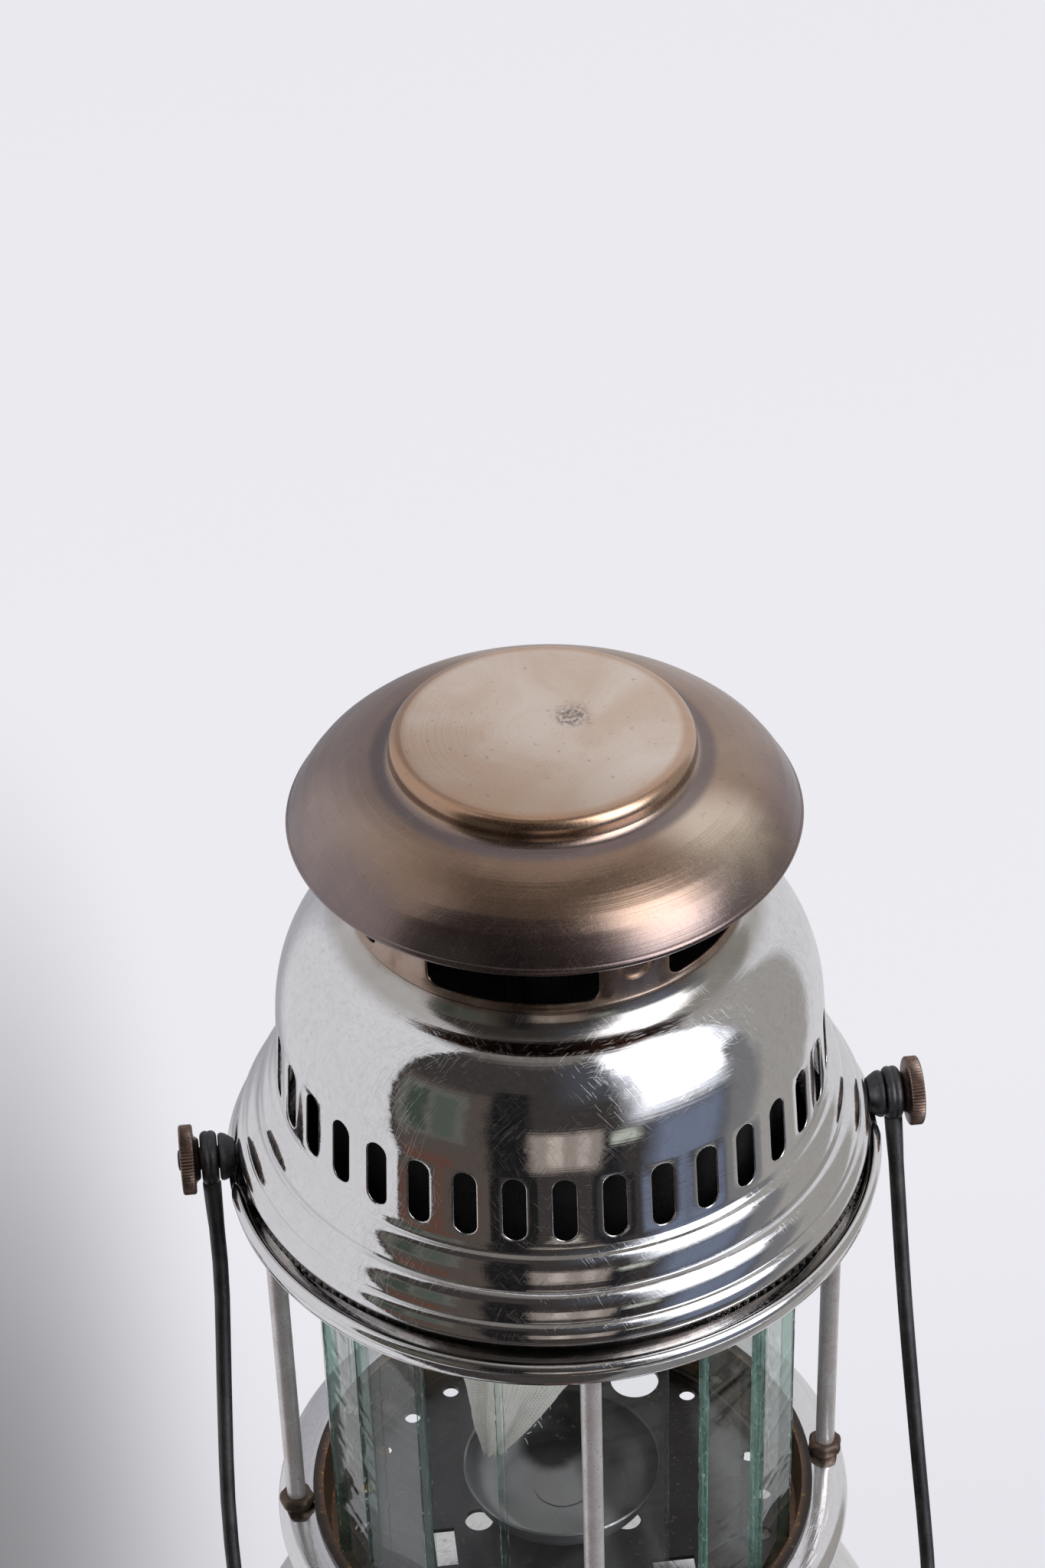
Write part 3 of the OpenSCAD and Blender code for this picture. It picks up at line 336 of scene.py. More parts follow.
def worn_metal(name, base, worn, grime, rough=0.3, metal=1.0, depth=0.08, scale=1.0, rust=0.0, coat=0.0):
    """Metal or paint with a worn colour on it, grime in clouds and, with rust, brown spots."""
    look = Look(name)
    place, (x, y, z) = look.place()
    rings, lines = scratches(look, place, x, y, z)
    cloud = look.noise(place, 0.12 * scale, 5.0, 0.6, 0.3)
    grain = look.noise(place, 1.7 * scale, 4.0, 0.6)
    colour = look.mix(cloud.ramp(0.38, 0.66), base, worn)
    colour = look.mix(grain.ramp(0.5, 0.72) * 0.55, colour, grime)
    level = rough + cloud * 0.12 + lines * 0.1
    if rust:
        spots = look.noise(place, 0.5 * scale, 6.0, 0.65).ramp(0.6 - 0.2 * rust, 0.7) * min(1.0, rust * 2)
        colour = look.mix(spots, colour, (0.22, 0.10, 0.05))
        level = level + spots * 0.35
    colour = look.mix(lines * 0.25, colour, tuple(min(1.0, c * 1.5 + 0.04) for c in worn))
    height = grain * 0.7 + cloud + lines * -0.3 + rings * 0.2
    sockets = {"base": colour, "rough": level, "metal": metal, "normal": look.bump(height, depth)}
    if coat:
        sockets.update(coat=coat, coat_rough=0.12)
    return look.finish(look.surface(**sockets))


def pan_finish():
    """Dark nickel, brown round the wall and dusty in rings, with painted glints on the wall, a painted dark reflection
    on the right and painted shade beside the mantle.
    """
    look = Look("pan_metal")
    place, (x, y, z) = look.place()
    rings, lines = scratches(look, place, x, y, z)
    reach = (x * x + y * y) ** 0.5
    cloud = look.noise(place, 0.06, 5.0, 0.6, 0.5)
    fine = look.noise(place, 0.9, 4.0)
    base = look.mix(cloud.ramp(0.36, 0.66), (0.19, 0.185, 0.195), (0.28, 0.275, 0.285))
    # Painted reflection: near-black on the right of the pan and cup, standing for the dark hood and burner they
    # reflect.
    painted_dark_reflection = (x + y * 0.25 + cloud * 6).ramp(6, 14) * (1 - (x + cloud * 6).ramp(36, 46))
    base = look.mix((0 - x + cloud * 6).ramp(12, 26) * 0.85, base, (0.09, 0.088, 0.094))
    base = look.mix((1 - reach.ramp(23.4, 24)) * z.ramp(140, 141) * 0.8, base, (0.40, 0.405, 0.42))
    base = look.mix(painted_dark_reflection * 0.88, base, (0.03, 0.026, 0.023))
    # Painted shade: a near-black patch beside the mantle's right edge, up to the cup's rim.
    painted_shade_reach = ((x + 0.5) ** 2 * 1.2 + (y - 14) ** 2) ** 0.5 + (cloud - 0.5) * 6
    base = look.mix((1 - painted_shade_reach.ramp(6.5, 11)) * (1 - z.ramp(154, 154.6)) * 0.9, base, (0.012, 0.012, 0.014))
    base = look.mix((reach + cloud * 5).ramp(52, 57), base, (0.20, 0.125, 0.09))
    # Painted glints: orange specks in a band on the wall.
    base = look.mix(reach.band(55, 59, 1.0) * fine.ramp(0.58, 0.66), base, (0.62, 0.30, 0.06))
    base = look.mix((reach + cloud * 3).ramp(58.2, 60.5), base, (0.07, 0.06, 0.055))
    base = look.mix(fine.ramp(0.6, 0.75) * 0.4, base, (0.30, 0.27, 0.24))
    rough = 0.26 + cloud * 0.2 + fine.ramp(0.5, 0.8) * 0.15
    height = cloud * 1.5 + fine * 0.3 + rings * 0.3 + lines * -0.3
    return look.finish(look.surface(base=base, rough=rough, metal=0.9, normal=look.bump(height, 0.06)))


def glass(name, tint=(0.984, 0.994, 0.991), haze=0.06):
    """Thin clear glass: it shows what is behind it, with a reflection that grows at a slant, and smears."""
    look = Look(name)
    place, (x, y, z) = look.place()
    smear = look.noise(look.vector(x * 0.06, y * 0.06, z * 0.018), 1.0, 5.0, 0.6, 1.2)
    speck = look.noise(place, 1.3, 3.0).ramp(0.66, 0.76)
    dust = (smear.ramp(0.48, 0.8) * haze + speck * haze * 0.7).clamp()
    clear = look.node("ShaderNodeBsdfTransparent", {}, {"Color": (*tint, 1)})
    shine = look.surface(base=(0.9, 0.93, 0.92), rough=0.03 + dust * 0.5, metal=1.0,
                         normal=look.bump(smear, 0.03))
    film = look.surface(base=(0.75, 0.77, 0.75), rough=0.6)
    facing = look.node("ShaderNodeLayerWeight", {}, {"Blend": 0.5}, "Facing")
    slant = facing ** 5.0 * 0.95 + 0.045
    body = look.node("ShaderNodeMixShader", {}, {0: slant, 1: clear, 2: shine})
    return look.finish(look.node("ShaderNodeMixShader", {}, {0: dust * 0.5, 1: body, 2: film}))


def glass_edge():
    """The ground green edge of a strip, bright in its middle and rough where it was snapped."""
    look = Look("glass_edge")
    place, (x, y, z) = look.place()
    chip = look.noise(look.vector(x * 0.8, y * 0.8, z * 0.5), 1.0, 5.0, 0.7)
    streak = look.noise(look.vector(x * 1.5, y * 1.5, z * 0.05), 1.0, 3.0)
    # Paler green, more opaque ground edges on the strips at the right front.
    right_front_strips = x.ramp(22, 28) * (1 - x.ramp(40, 44)) * (1 - y.ramp(-10, 0))
    dark = look.mix(right_front_strips, (0.018, 0.05, 0.04), (0.10, 0.24, 0.19))
    pale = look.mix(right_front_strips, (0.07, 0.16, 0.13), (0.30, 0.52, 0.44))
    base = look.mix(streak.ramp(0.35, 0.65), dark, pale)
    base = look.mix(chip.ramp(0.56, 0.7) * 0.8, base, (0.62, 0.78, 0.73))
    reach = (x * x + y * y) ** 0.5
    arris = reach.ramp(54.7, 55.0) + (1 - reach.ramp(52.3, 52.6)) * 0.5
    share = 0.12 + 0.88 * (arris * 0.85 + right_front_strips * 0.8 + chip.ramp(0.62, 0.72) * 0.7).clamp()
    clear = look.node("ShaderNodeBsdfTransparent", {}, {"Color": (0.86, 0.95, 0.92, 1)})
    ground = look.surface(base=base, rough=0.12 + chip * 0.3, normal=look.bump(chip, 0.25), coat=1.0,
                          coat_rough=0.06)
    return look.finish(look.node("ShaderNodeMixShader", {}, {0: share, 1: clear, 2: ground}))


def cloth_finish():
    """Knitted mantle cloth in its own fabric coordinates, with open loops and stains."""
    look = Look("mantle_cloth")
    place, (x, y, z) = look.place()
    across = look.node("ShaderNodeAttribute", {"attribute_name": "around"}, {}, "Fac")
    down = look.node("ShaderNodeAttribute", {"attribute_name": "down"}, {}, "Fac")
    rows = look.maths_sine(down * (math.tau / 1.1))
    loops = look.maths_sine(across * (math.tau / 1.3) + rows * 0.9)
    knit = (rows * 0.5 + loops * 0.5) * 0.5 + 0.5
    cloud = look.noise(place, 0.12, 4.0, 0.6)
    fuzz = look.noise(place, 3.0, 3.0)
    base = look.mix(cloud.ramp(0.35, 0.68), (0.88, 0.85, 0.77), (0.97, 0.94, 0.87))
    base = look.mix((1 - knit) * 0.35, base, (0.52, 0.51, 0.46))
    base = look.mix(cloud.ramp(0.62, 0.78) * 0.4, base, (0.42, 0.36, 0.28))
    height = knit + fuzz * 0.4
    return look.finish(look.surface(base=base, rough=0.92, sheen=0.35, sheen_rough=0.5,
                                    normal=look.bump(height, 0.3)))


def moulded(name, colour, rough, depth=0.03, coat=0.0, worn=0.12):
    """Moulded plastic, rubber or enamel: flow clouds, fine pitting and rubbed edges of the tone."""
    look = Look(name)
    place, (x, y, z) = look.place()
    cloud = look.noise(place, 0.15, 4.0, 0.6)
    pits = look.noise(place, 2.2, 3.0)
    lighter = tuple(min(1.0, c * 1.5 + 0.008) for c in colour)
    base = look.mix(cloud.ramp(0.4, 0.75) * 0.6, colour, lighter)
    base = look.mix(pits.ramp(0.64, 0.74) * worn, base, (0.35, 0.32, 0.28))
    sockets = {"base": base, "rough": rough + cloud * 0.12, "normal": look.bump(pits + cloud, depth)}
    if coat:
        sockets.update(coat=coat, coat_rough=0.08)
    return look.finish(look.surface(**sockets))


# Room, floor and lamps

# What the polished metal reflects, as turns from the camera's side to the right and heights, in degrees
ROOM = (
    (-62, -25, -46, 24, 3.5, (0.085, 0.068, 0.058)),
    (-61, -33, -18, 19, 1.6, (0.12, 0.12, 0.105)),
    (-57, -49, -15, 15, 1.2, (0.05, 0.065, 0.05)),
    (-46, -37, -15, 15, 1.2, (0.08, 0.095, 0.08)),
    (-60, -40, -36, -29, 2.0, (0.12, 0.055, 0.04)),
    (-24, -9, -60, 30, 2.5, (0.009, 0.009, 0.010)),
    (-9, 19, -30, -3, 2.5, (0.30, 0.255, 0.225)),
    (-2, 3, -28, -5, 1.5, (0.50, 0.44, 0.39)),
    (9, 13, -28, -5, 1.5, (0.46, 0.40, 0.36)),
    (18, 26, -60, -4, 2.5, (0.014, 0.014, 0.018)),
    (22, 32, -15, -6, 2.5, (0.50, 0.53, 0.46)),
    (6, 40, 22, 62, 10.0, (0.07, 0.075, 0.09)),
    (30, 86, -2, 60, 7.0, (0.95, 0.97, 1.05)),
    (34, 82, 40, 76, 8.0, (3.0, 3.0, 3.1)),
    (39, 74, 8, 54, 5.0, (4.6, 4.65, 4.8)),
    (38, 68, -38, -6, 6.0, (0.17, 0.20, 0.28)),
    (70, 88, -60, 20, 5.0, (0.20, 0.20, 0.21)),
    (86, 124, -90, 60, 4.0, (0.37, 0.355, 0.335)),
    (-140, 141, 66, 91, 8.0, (0.20, 0.185, 0.17)),
    (-178, -142, -50, 62, 9.0, (0.42, 0.415, 0.45)),
    (-30, 26, -90, -44, 4.0, (0.05, 0.045, 0.042)),
    (26, 90, -90, -44, 4.0, (0.22, 0.215, 0.215)),
)
BACK = (0.70, 0.69, 0.71)
DARK = (0.042, 0.036, 0.034)


def room_finish(turn):
    """Emission only, laid out by direction round the lantern."""
    look = Look("room")
    place, (x, y, z) = look.place()
    across = (x * x + y * y) ** 0.5
    az = turn_of(look, x, y) + turn
    el = look.node("ShaderNodeMath", {"operation": "ARCTAN2"}, (z - LIP, across)) * (180 / math.pi)
    wavy = look.noise(place, 0.0012, 4.0, 0.6) - 0.5
    az, el = az + wavy * 6, el + wavy * 6
    colour = look.mix(az.band(-64, 100, 1.0), BACK, DARK)
    for low, high, under, over, soft, shade in ROOM:
        share = az.band(low, high, soft) * el.band(under, over, soft)
        colour = look.mix(share, colour, shade)
    blotch = look.noise(place, 0.004, 5.0, 0.65)
    colour = look.mix(blotch.ramp(0.45, 0.75) * 0.35, colour, (0.10, 0.095, 0.09))
    return look.finish(look.node("ShaderNodeEmission", {}, {"Color": colour}))


def floor_finish():
    """Pale paper that shows white to the camera and in the metal, keeps the lantern's shadow, and has a painted shadow
    to its left.
    """
    look = Look("floor")
    place, (x, y, z) = look.place()
    path = look.tree.nodes.new("ShaderNodeLightPath")
    seen = Wire(look, path.outputs["Is Camera Ray"]) + Wire(look, path.outputs["Is Transmission Ray"])
    # Painted shadow: the floor darkens to a soft dark patch in a long ellipse to the lantern's left; the open floor is
    # lighter further back.
    across = (x + 165) / 85
    deep = (y.ramp(0, 624, False) + (0 - y).ramp(0, 260, False)) * 1.3
    away = (across * across + deep * deep) ** 0.5
    cloud = look.noise(place, 0.004, 2.0)
    open_floor = look.mix((y - 60).ramp(0, 260), (0.83, 0.83, 0.875), (0.885, 0.88, 0.925))
    pale = look.mix((away + cloud * 0.1).ramp(0.25, 1.25), (0.27, 0.265, 0.28), open_floor)
    paper = look.node("ShaderNodeBsdfDiffuse", {}, {"Color": pale})
    glow = look.node("ShaderNodeEmission", {}, {"Color": pale})
    return look.finish(look.node("ShaderNodeMixShader", {}, {0: seen.clamp() * 0.8, 1: paper, 2: glow}))


def add_floor():
    bm = bmesh.new()
    bmesh.ops.create_circle(bm, cap_ends=True, radius=9.0, segments=64)
    mesh = bpy.data.meshes.new("floor")
    bm.to_mesh(mesh)
    bm.free()
    obj = bpy.data.objects.new("floor", mesh)
    scene.collection.objects.link(obj)
    mesh.materials.append(floor_finish())
    obj.visible_glossy = False


def add_room(turn=5.84):
    """A shell that only reflections see."""
    bm = bmesh.new()
    bmesh.ops.create_uvsphere(bm, u_segments=48, v_segments=24, radius=8.0)
    bmesh.ops.reverse_faces(bm, faces=bm.faces)
    mesh = bpy.data.meshes.new("room")
    bm.to_mesh(mesh)
    bm.free()
    obj = bpy.data.objects.new("room", mesh)
    scene.collection.objects.link(obj)
    mesh.materials.append(room_finish(turn))
    obj.visible_camera = obj.visible_diffuse = obj.visible_transmission = False
    obj.visible_shadow = obj.visible_volume_scatter = False


def add_lamp(name, place, aim, size, power, colour=(1, 1, 1), shiny=False):
    data = bpy.data.lights.new(name, "AREA")
    data.shape, data.size, data.size_y = "RECTANGLE", size[0], size[1]
    data.energy, data.color = power, colour
    obj = bpy.data.objects.new(name, data)
    scene.collection.objects.link(obj)
    obj.location = place
    obj.rotation_euler = (Vector(aim) - Vector(place)).to_track_quat("-Z", "Y").to_euler()
    obj.visible_camera = obj.visible_glossy = shiny
    return obj


def light_up():
    world = bpy.data.worlds.new("world")
    scene.world = world
    world.use_nodes = True
    look = Look("world", world.node_tree)
    path = look.tree.nodes.new("ShaderNodeLightPath")
    seen = (Wire(look, path.outputs["Is Camera Ray"]) + Wire(look, path.outputs["Is Transmission Ray"])).clamp()
    pale = look.mix(seen, (0.42, 0.42, 0.44), (0.80, 0.795, 0.84))
    shade = look.node("ShaderNodeBackground", {}, {"Color": pale})
    out = look.tree.nodes.new("ShaderNodeOutputWorld")
    look.tree.links.new(shade.socket, out.inputs["Surface"])
    add_lamp("soft_box", (1.7, -1.5, 1.9), (0, 0, 0.25), (1.4, 1.4), 42)
    add_lamp("fill", (-2.2, -0.6, 1.4), (0, 0, 0.2), (1.6, 1.8), 14)


# Shapes, drawn in mm


def out(turn):
    """The level direction turn degrees from the front, to the right."""
    a = math.radians(turn)
    return Vector((math.sin(a), -math.cos(a), 0))


def standing(turn, r=0.0, z=0.0):
    """A frame at that turn, with x outwards, y to the lantern's right-hand side and z up."""
    x = out(turn)
    y = UP.cross(x)
    return Matrix.Translation(x * r + UP * z) @ Matrix((x, y, UP)).transposed().to_4x4()


def along(point, axis, twist=0.0):
    """A frame at a point with z along an axis."""
    turn = Vector(axis).normalized().to_track_quat("Z", "Y").to_matrix().to_4x4()
    return Matrix.Translation(Vector(point)) @ turn @ Matrix.Rotation(math.radians(twist), 4, "Z")


def arc(x, y, r, start, end, steps=8):
    """Points round a centre, in degrees."""
    angles = (math.radians(start + (end - start) * i / steps) for i in range(steps + 1))
    return [(x + r * math.cos(a), y + r * math.sin(a)) for a in angles]


def eased(points, soft=0.4, bend=4.0, reach=4.0):
    """A profile with its corners rounded over about soft, and points only where it bends."""
    fine = []
    for (x0, y0), (x1, y1) in zip(points, points[1:]):
        steps = max(1, int(math.hypot(x1 - x0, y1 - y0) / 0.12))
        fine += [Vector((x0 + (x1 - x0) * i / steps, y0 + (y1 - y0) * i / steps)) for i in range(steps)]
    fine.append(Vector(points[-1]))
    width = max(1, int(soft * 2.2 / 0.12))
    weights = [math.exp(-(k * 0.12 / soft) ** 2) for k in range(-width, width + 1)]
    total = sum(weights)
    smooth = []
    for i, point in enumerate(fine):
        if i < 1 or i > len(fine) - 2:
            smooth.append(point)
            continue
        mean = Vector((0, 0))
        for k, weight in zip(range(-width, width + 1), weights):
            j = i + k
            if j < 0:
                mean += weight * (2 * fine[0] - fine[min(-j, len(fine) - 1)])
            elif j >= len(fine):
                mean += weight * (2 * fine[-1] - fine[max(2 * len(fine) - 2 - j, 0)])
            else:
                mean += weight * fine[j]
        smooth.append(mean / total)
    kept, turned, passed = [smooth[0]], 0.0, 0.0
    for before, here, after in zip(smooth, smooth[1:], smooth[2:]):
        turned += abs(math.degrees((after - here).angle(here - before, 0)))
        passed += (here - before).length
        if turned > bend or passed > reach:
            kept.append(here)
            turned = passed = 0.0
    return [tuple(p) for p in kept + [smooth[-1]]]


def spun(points, closed=False, steps=FULL_TURN, around=360.0, frame=None):
    """A profile of (radius, height) points spun round the upright axis."""
    bm = bmesh.new()
    verts = [bm.verts.new((r, 0, z)) for r, z in points]
    pairs = list(zip(verts, verts[1:])) + ([(verts[-1], verts[0])] if closed else [])
    edges = [bm.edges.new(pair) for pair in pairs]
    bmesh.ops.spin(bm, geom=verts + edges, cent=(0, 0, 0), axis=(0, 0, 1), angle=math.radians(around), steps=steps,
                   use_merge=around == 360.0, use_duplicate=False)
    bmesh.ops.remove_doubles(bm, verts=bm.verts, dist=0.001)
    bmesh.ops.recalc_face_normals(bm, faces=bm.faces)
    if frame is not None:
        bmesh.ops.transform(bm, matrix=frame, verts=bm.verts)
    return bm


def together(*parts):
    """One mesh of several, which are used up."""
    whole = bmesh.new()
    for bm in parts:
        mesh = bpy.data.meshes.new("part")
        bm.to_mesh(mesh)
        bm.free()
        whole.from_mesh(mesh)
        bpy.data.meshes.remove(mesh)
    return whole


def swept(points, radius, sides=16, closed=False, up=None, flat=1.0):
    """A round wire along points. radius is a number or one for each point; flat thins it along up."""
    bm = bmesh.new()
    points = [Vector(p) for p in points]
    radii = radius if hasattr(radius, "__len__") else [radius] * len(points)
    side = None
    loops = []
    for i, point in enumerate(points):
        before = points[i - 1] if i or closed else point
        after = points[(i + 1) % len(points)] if i + 1 < len(points) or closed else point
        ahead = (after - before).normalized()
        if side is None:
            side = (Vector(up) if up else (UP if abs(ahead.z) < 0.9 else Vector((1, 0, 0)))).cross(ahead).normalized()
        side = (side - ahead * side.dot(ahead)).normalized()
        over = ahead.cross(side)
        if not loops:
            loop = bmesh.ops.create_circle(bm, segments=sides, radius=1)["verts"]
            shape = [v.co.copy() for v in loop]
        else:
            geom = bmesh.ops.extrude_edge_only(bm, edges=[e for e in bm.edges if all(v in last for v in e.verts)])
            made = {v for v in geom["geom"] if isinstance(v, bmesh.types.BMVert)}
            near = {e.other_vert(v): v for v in made for e in v.link_edges if e.other_vert(v) in last}
            loop = [near[v] for v in loops[-1]]
        for v, s in zip(loop, shape):
            v.co = point + radii[i] * (s.x * side + s.y * over * flat)
        last = set(loop)
        loops.append(loop)
    if closed:
        ends = [e for e in bm.edges if e.is_boundary]
        bmesh.ops.bridge_loops(bm, edges=ends)
    else:
        bmesh.ops.holes_fill(bm, edges=[e for e in bm.edges if e.is_boundary], sides=0)
    bmesh.ops.recalc_face_normals(bm, faces=bm.faces)
    return bm


def slab(outline, height, edge=0.0, frame=None, segments=2):
    """A flat outline raised to a height, with its sharp edges bevelled."""
    bm = bmesh.new()
    face = bm.faces.new([bm.verts.new((x, y, 0)) for x, y in outline])
    raised = bmesh.ops.extrude_face_region(bm, geom=[face])
    top = [v for v in raised["geom"] if isinstance(v, bmesh.types.BMVert)]
    bmesh.ops.translate(bm, vec=(0, 0, height), verts=top)
    bmesh.ops.recalc_face_normals(bm, faces=bm.faces)
    if edge:
        sharp = [e for e in bm.edges if e.calc_face_angle(0) > math.radians(40)]
        bmesh.ops.bevel(bm, geom=sharp, offset=edge, affect="EDGES", segments=segments, profile=0.5, material=-1)
    if frame is not None:
        bmesh.ops.transform(bm, matrix=frame, verts=bm.verts)
    return bm


def finish_piece(bm, name, body, finish, slot, *nodes, wall=0.0, sharp=38.0, second=None, flat=False, inside=None):
    """Puts a mesh drawn in mm into the scene, riding on a body and standing for CAD nodes."""
    bmesh.ops.scale(bm, vec=(MM, MM, MM), verts=bm.verts)
    mesh = bpy.data.meshes.new(name)
    bm.to_mesh(mesh)
    bm.free()
    mesh.shade_smooth()
    mesh.set_sharp_from_angle(angle=math.radians(sharp))
    if flat:
        for face in mesh.polygons:
            face.use_smooth = face.material_index > 0
    mesh.materials.append(finish)
    if second:
        mesh.materials.append(second)
    obj = bpy.data.objects.new(name, mesh)
    scene.collection.objects.link(obj)
    if wall:
        sheet = obj.modifiers.new("wall", "SOLIDIFY")
        sheet.thickness, sheet.offset, sheet.use_even_offset = wall * MM, -1.0, True
    if inside:
        mesh.materials.append(inside)
        sheet.material_offset = 1
    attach(obj, body)
    if nodes:
        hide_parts(*nodes)
    return obj


class Run:
    """A profile of (radius, height) points, measured along its length."""

    def __init__(self, points):
        self.points = [Vector(p) for p in points]
        self.lengths = [0.0]
        for a, b in zip(self.points, self.points[1:]):
            self.lengths.append(self.lengths[-1] + (b - a).length)
        flat = [(b - a).normalized() for a, b in zip(self.points, self.points[1:])]
        flat = [(a + b).normalized() for a, b in zip(flat[:1] + flat, flat + flat[-1:])]
        self.sides = [Vector((d.y, -d.x)) for d in flat]

    def at(self, length):
        """The point there and the direction outwards."""
        i = 0
        while i < len(self.lengths) - 2 and self.lengths[i + 1] < length:
            i += 1
        t = (length - self.lengths[i]) / (self.lengths[i + 1] - self.lengths[i])
        side = self.sides[i].lerp(self.sides[i + 1], t).normalized()
        return self.points[i].lerp(self.points[i + 1], t), side

    def length_at(self, height):
        for i, (a, b) in enumerate(zip(self.points, self.points[1:])):
            if a.y <= height <= b.y:
                return self.lengths[i] + (height - a.y) / max(b.y - a.y, 1e-6) * (b - a).length
        return self.lengths[-1]

    def stops(self, low, high):
        return [low] + [s for s in self.lengths if low + 0.3 < s < high - 0.3] + [high]


def strip(start, columns, rows, step=2.0):
    """A flat sheet from start degrees, its rows at the given lengths."""
    bm = bmesh.new()
    bmesh.ops.create_grid(bm, x_segments=columns, y_segments=len(rows) - 1, size=0.5)
    for v in bm.verts:
        column, row = round((v.co.x + 0.5) * columns), round((v.co.y + 0.5) * (len(rows) - 1))
        v.co = (start + step * column, rows[row], 0)
    return bm


def cell(*loops):
    """Quads from each loop of points to the next, such as from a hole's lip to the cell's border."""
    bm = bmesh.new()
    before = None
    for points in loops:
        verts = [bm.verts.new(p) for p in points]
        edges = [bm.edges.new((verts[k - 1], verts[k])) for k in range(len(verts))]
        if before:
            bmesh.ops.bridge_loops(bm, edges=before + edges)
        before = edges
    return bm


def border(width, low, high, columns, rows):
    """A flat cell's outline from its lower left, with its middle at 0 degrees."""
    w = width / 2
    line = [(-w + width * i / columns, low, 0) for i in range(columns)]
    line += [(w, low + (high - low) * i / rows, 0) for i in range(rows)]
    line += [(w - width * i / columns, high, 0) for i in range(columns)]
    return line + [(-w, high - (high - low) * i / rows, 0) for i in range(rows)]


def rounded(width, low, high, corner, per, across, up, grow, depth):
    """A rounded hole's outline: width and corner in mm, per mm in a degree, with across and up straight steps."""
    w, c = width / 2 + grow, corner + grow
    low, high = low - grow, high + grow
    line = []
    for k, (x, y) in enumerate(((-1, 0), (1, 0), (1, 1), (-1, 1))):
        middle = (x * (w - c), (high - c) if y else (low + c))
        start = (180, 270, 0, 90)[k]
        bend = [(middle[0] + c * math.cos(math.radians(start + 22.5 * j)),
                 middle[1] + c * math.sin(math.radians(start + 22.5 * j))) for j in range(5)]
        line += bend
        steps = (across, up, across, up)[k]
        n = (-1, 1, 1, -1)[(k + 1) % 4]
        after_x = n * (w - c)
        after = [(after_x, low), (w, high - c), (after_x, high), (-w, low + c)][k]
        line += [(bend[-1][0] + (after[0] - bend[-1][0]) * j / steps,
                  bend[-1][1] + (after[1] - bend[-1][1]) * j / steps) for j in range(1, steps)]
    line = line[2:] + line[:2]
    return [(x / per, y, depth) for x, y in line]


def hood_line():
    """The hood's outside, from the skirt's foot to the top of its neck, above the gallery's lip."""
    steps = ((69.6, 7.0), (67.6, 9.8), (64.0, 15.5), (61.0, 22.8))
    points = [(69.6, 3.8), (69.6, 7.0)]
    for (x0, y0), (x1, y1) in zip(steps, steps[1:]):
        for k in range(1, 11):
            a = math.radians(9 * k)
            points.append((x0 + (x1 - x0) * (1 - math.cos(a)), y0 + (y1 - y0) * math.sin(a)))
    points.append((60.2, 24.0))
    points += [(41 + 18 * math.cos(math.radians(a)), 40 + 27 * math.sin(math.radians(a))) for a in range(4, 76)]
    points += [(44.6, 66.7), (43.7, 67.4), (42.9, 68.3), (42.3, 69.4), (41.95, 70.6), (41.8, 71.6)]
    points += [(41.8 + 0.6 * math.cos(math.radians(a)), 72.5 + 0.6 * math.sin(math.radians(a)))
               for a in range(-80, 81, 20)]
    return eased(points + [(41.8, 74), (41.8, 101.3)], 0.32, 3.5, 2.6)


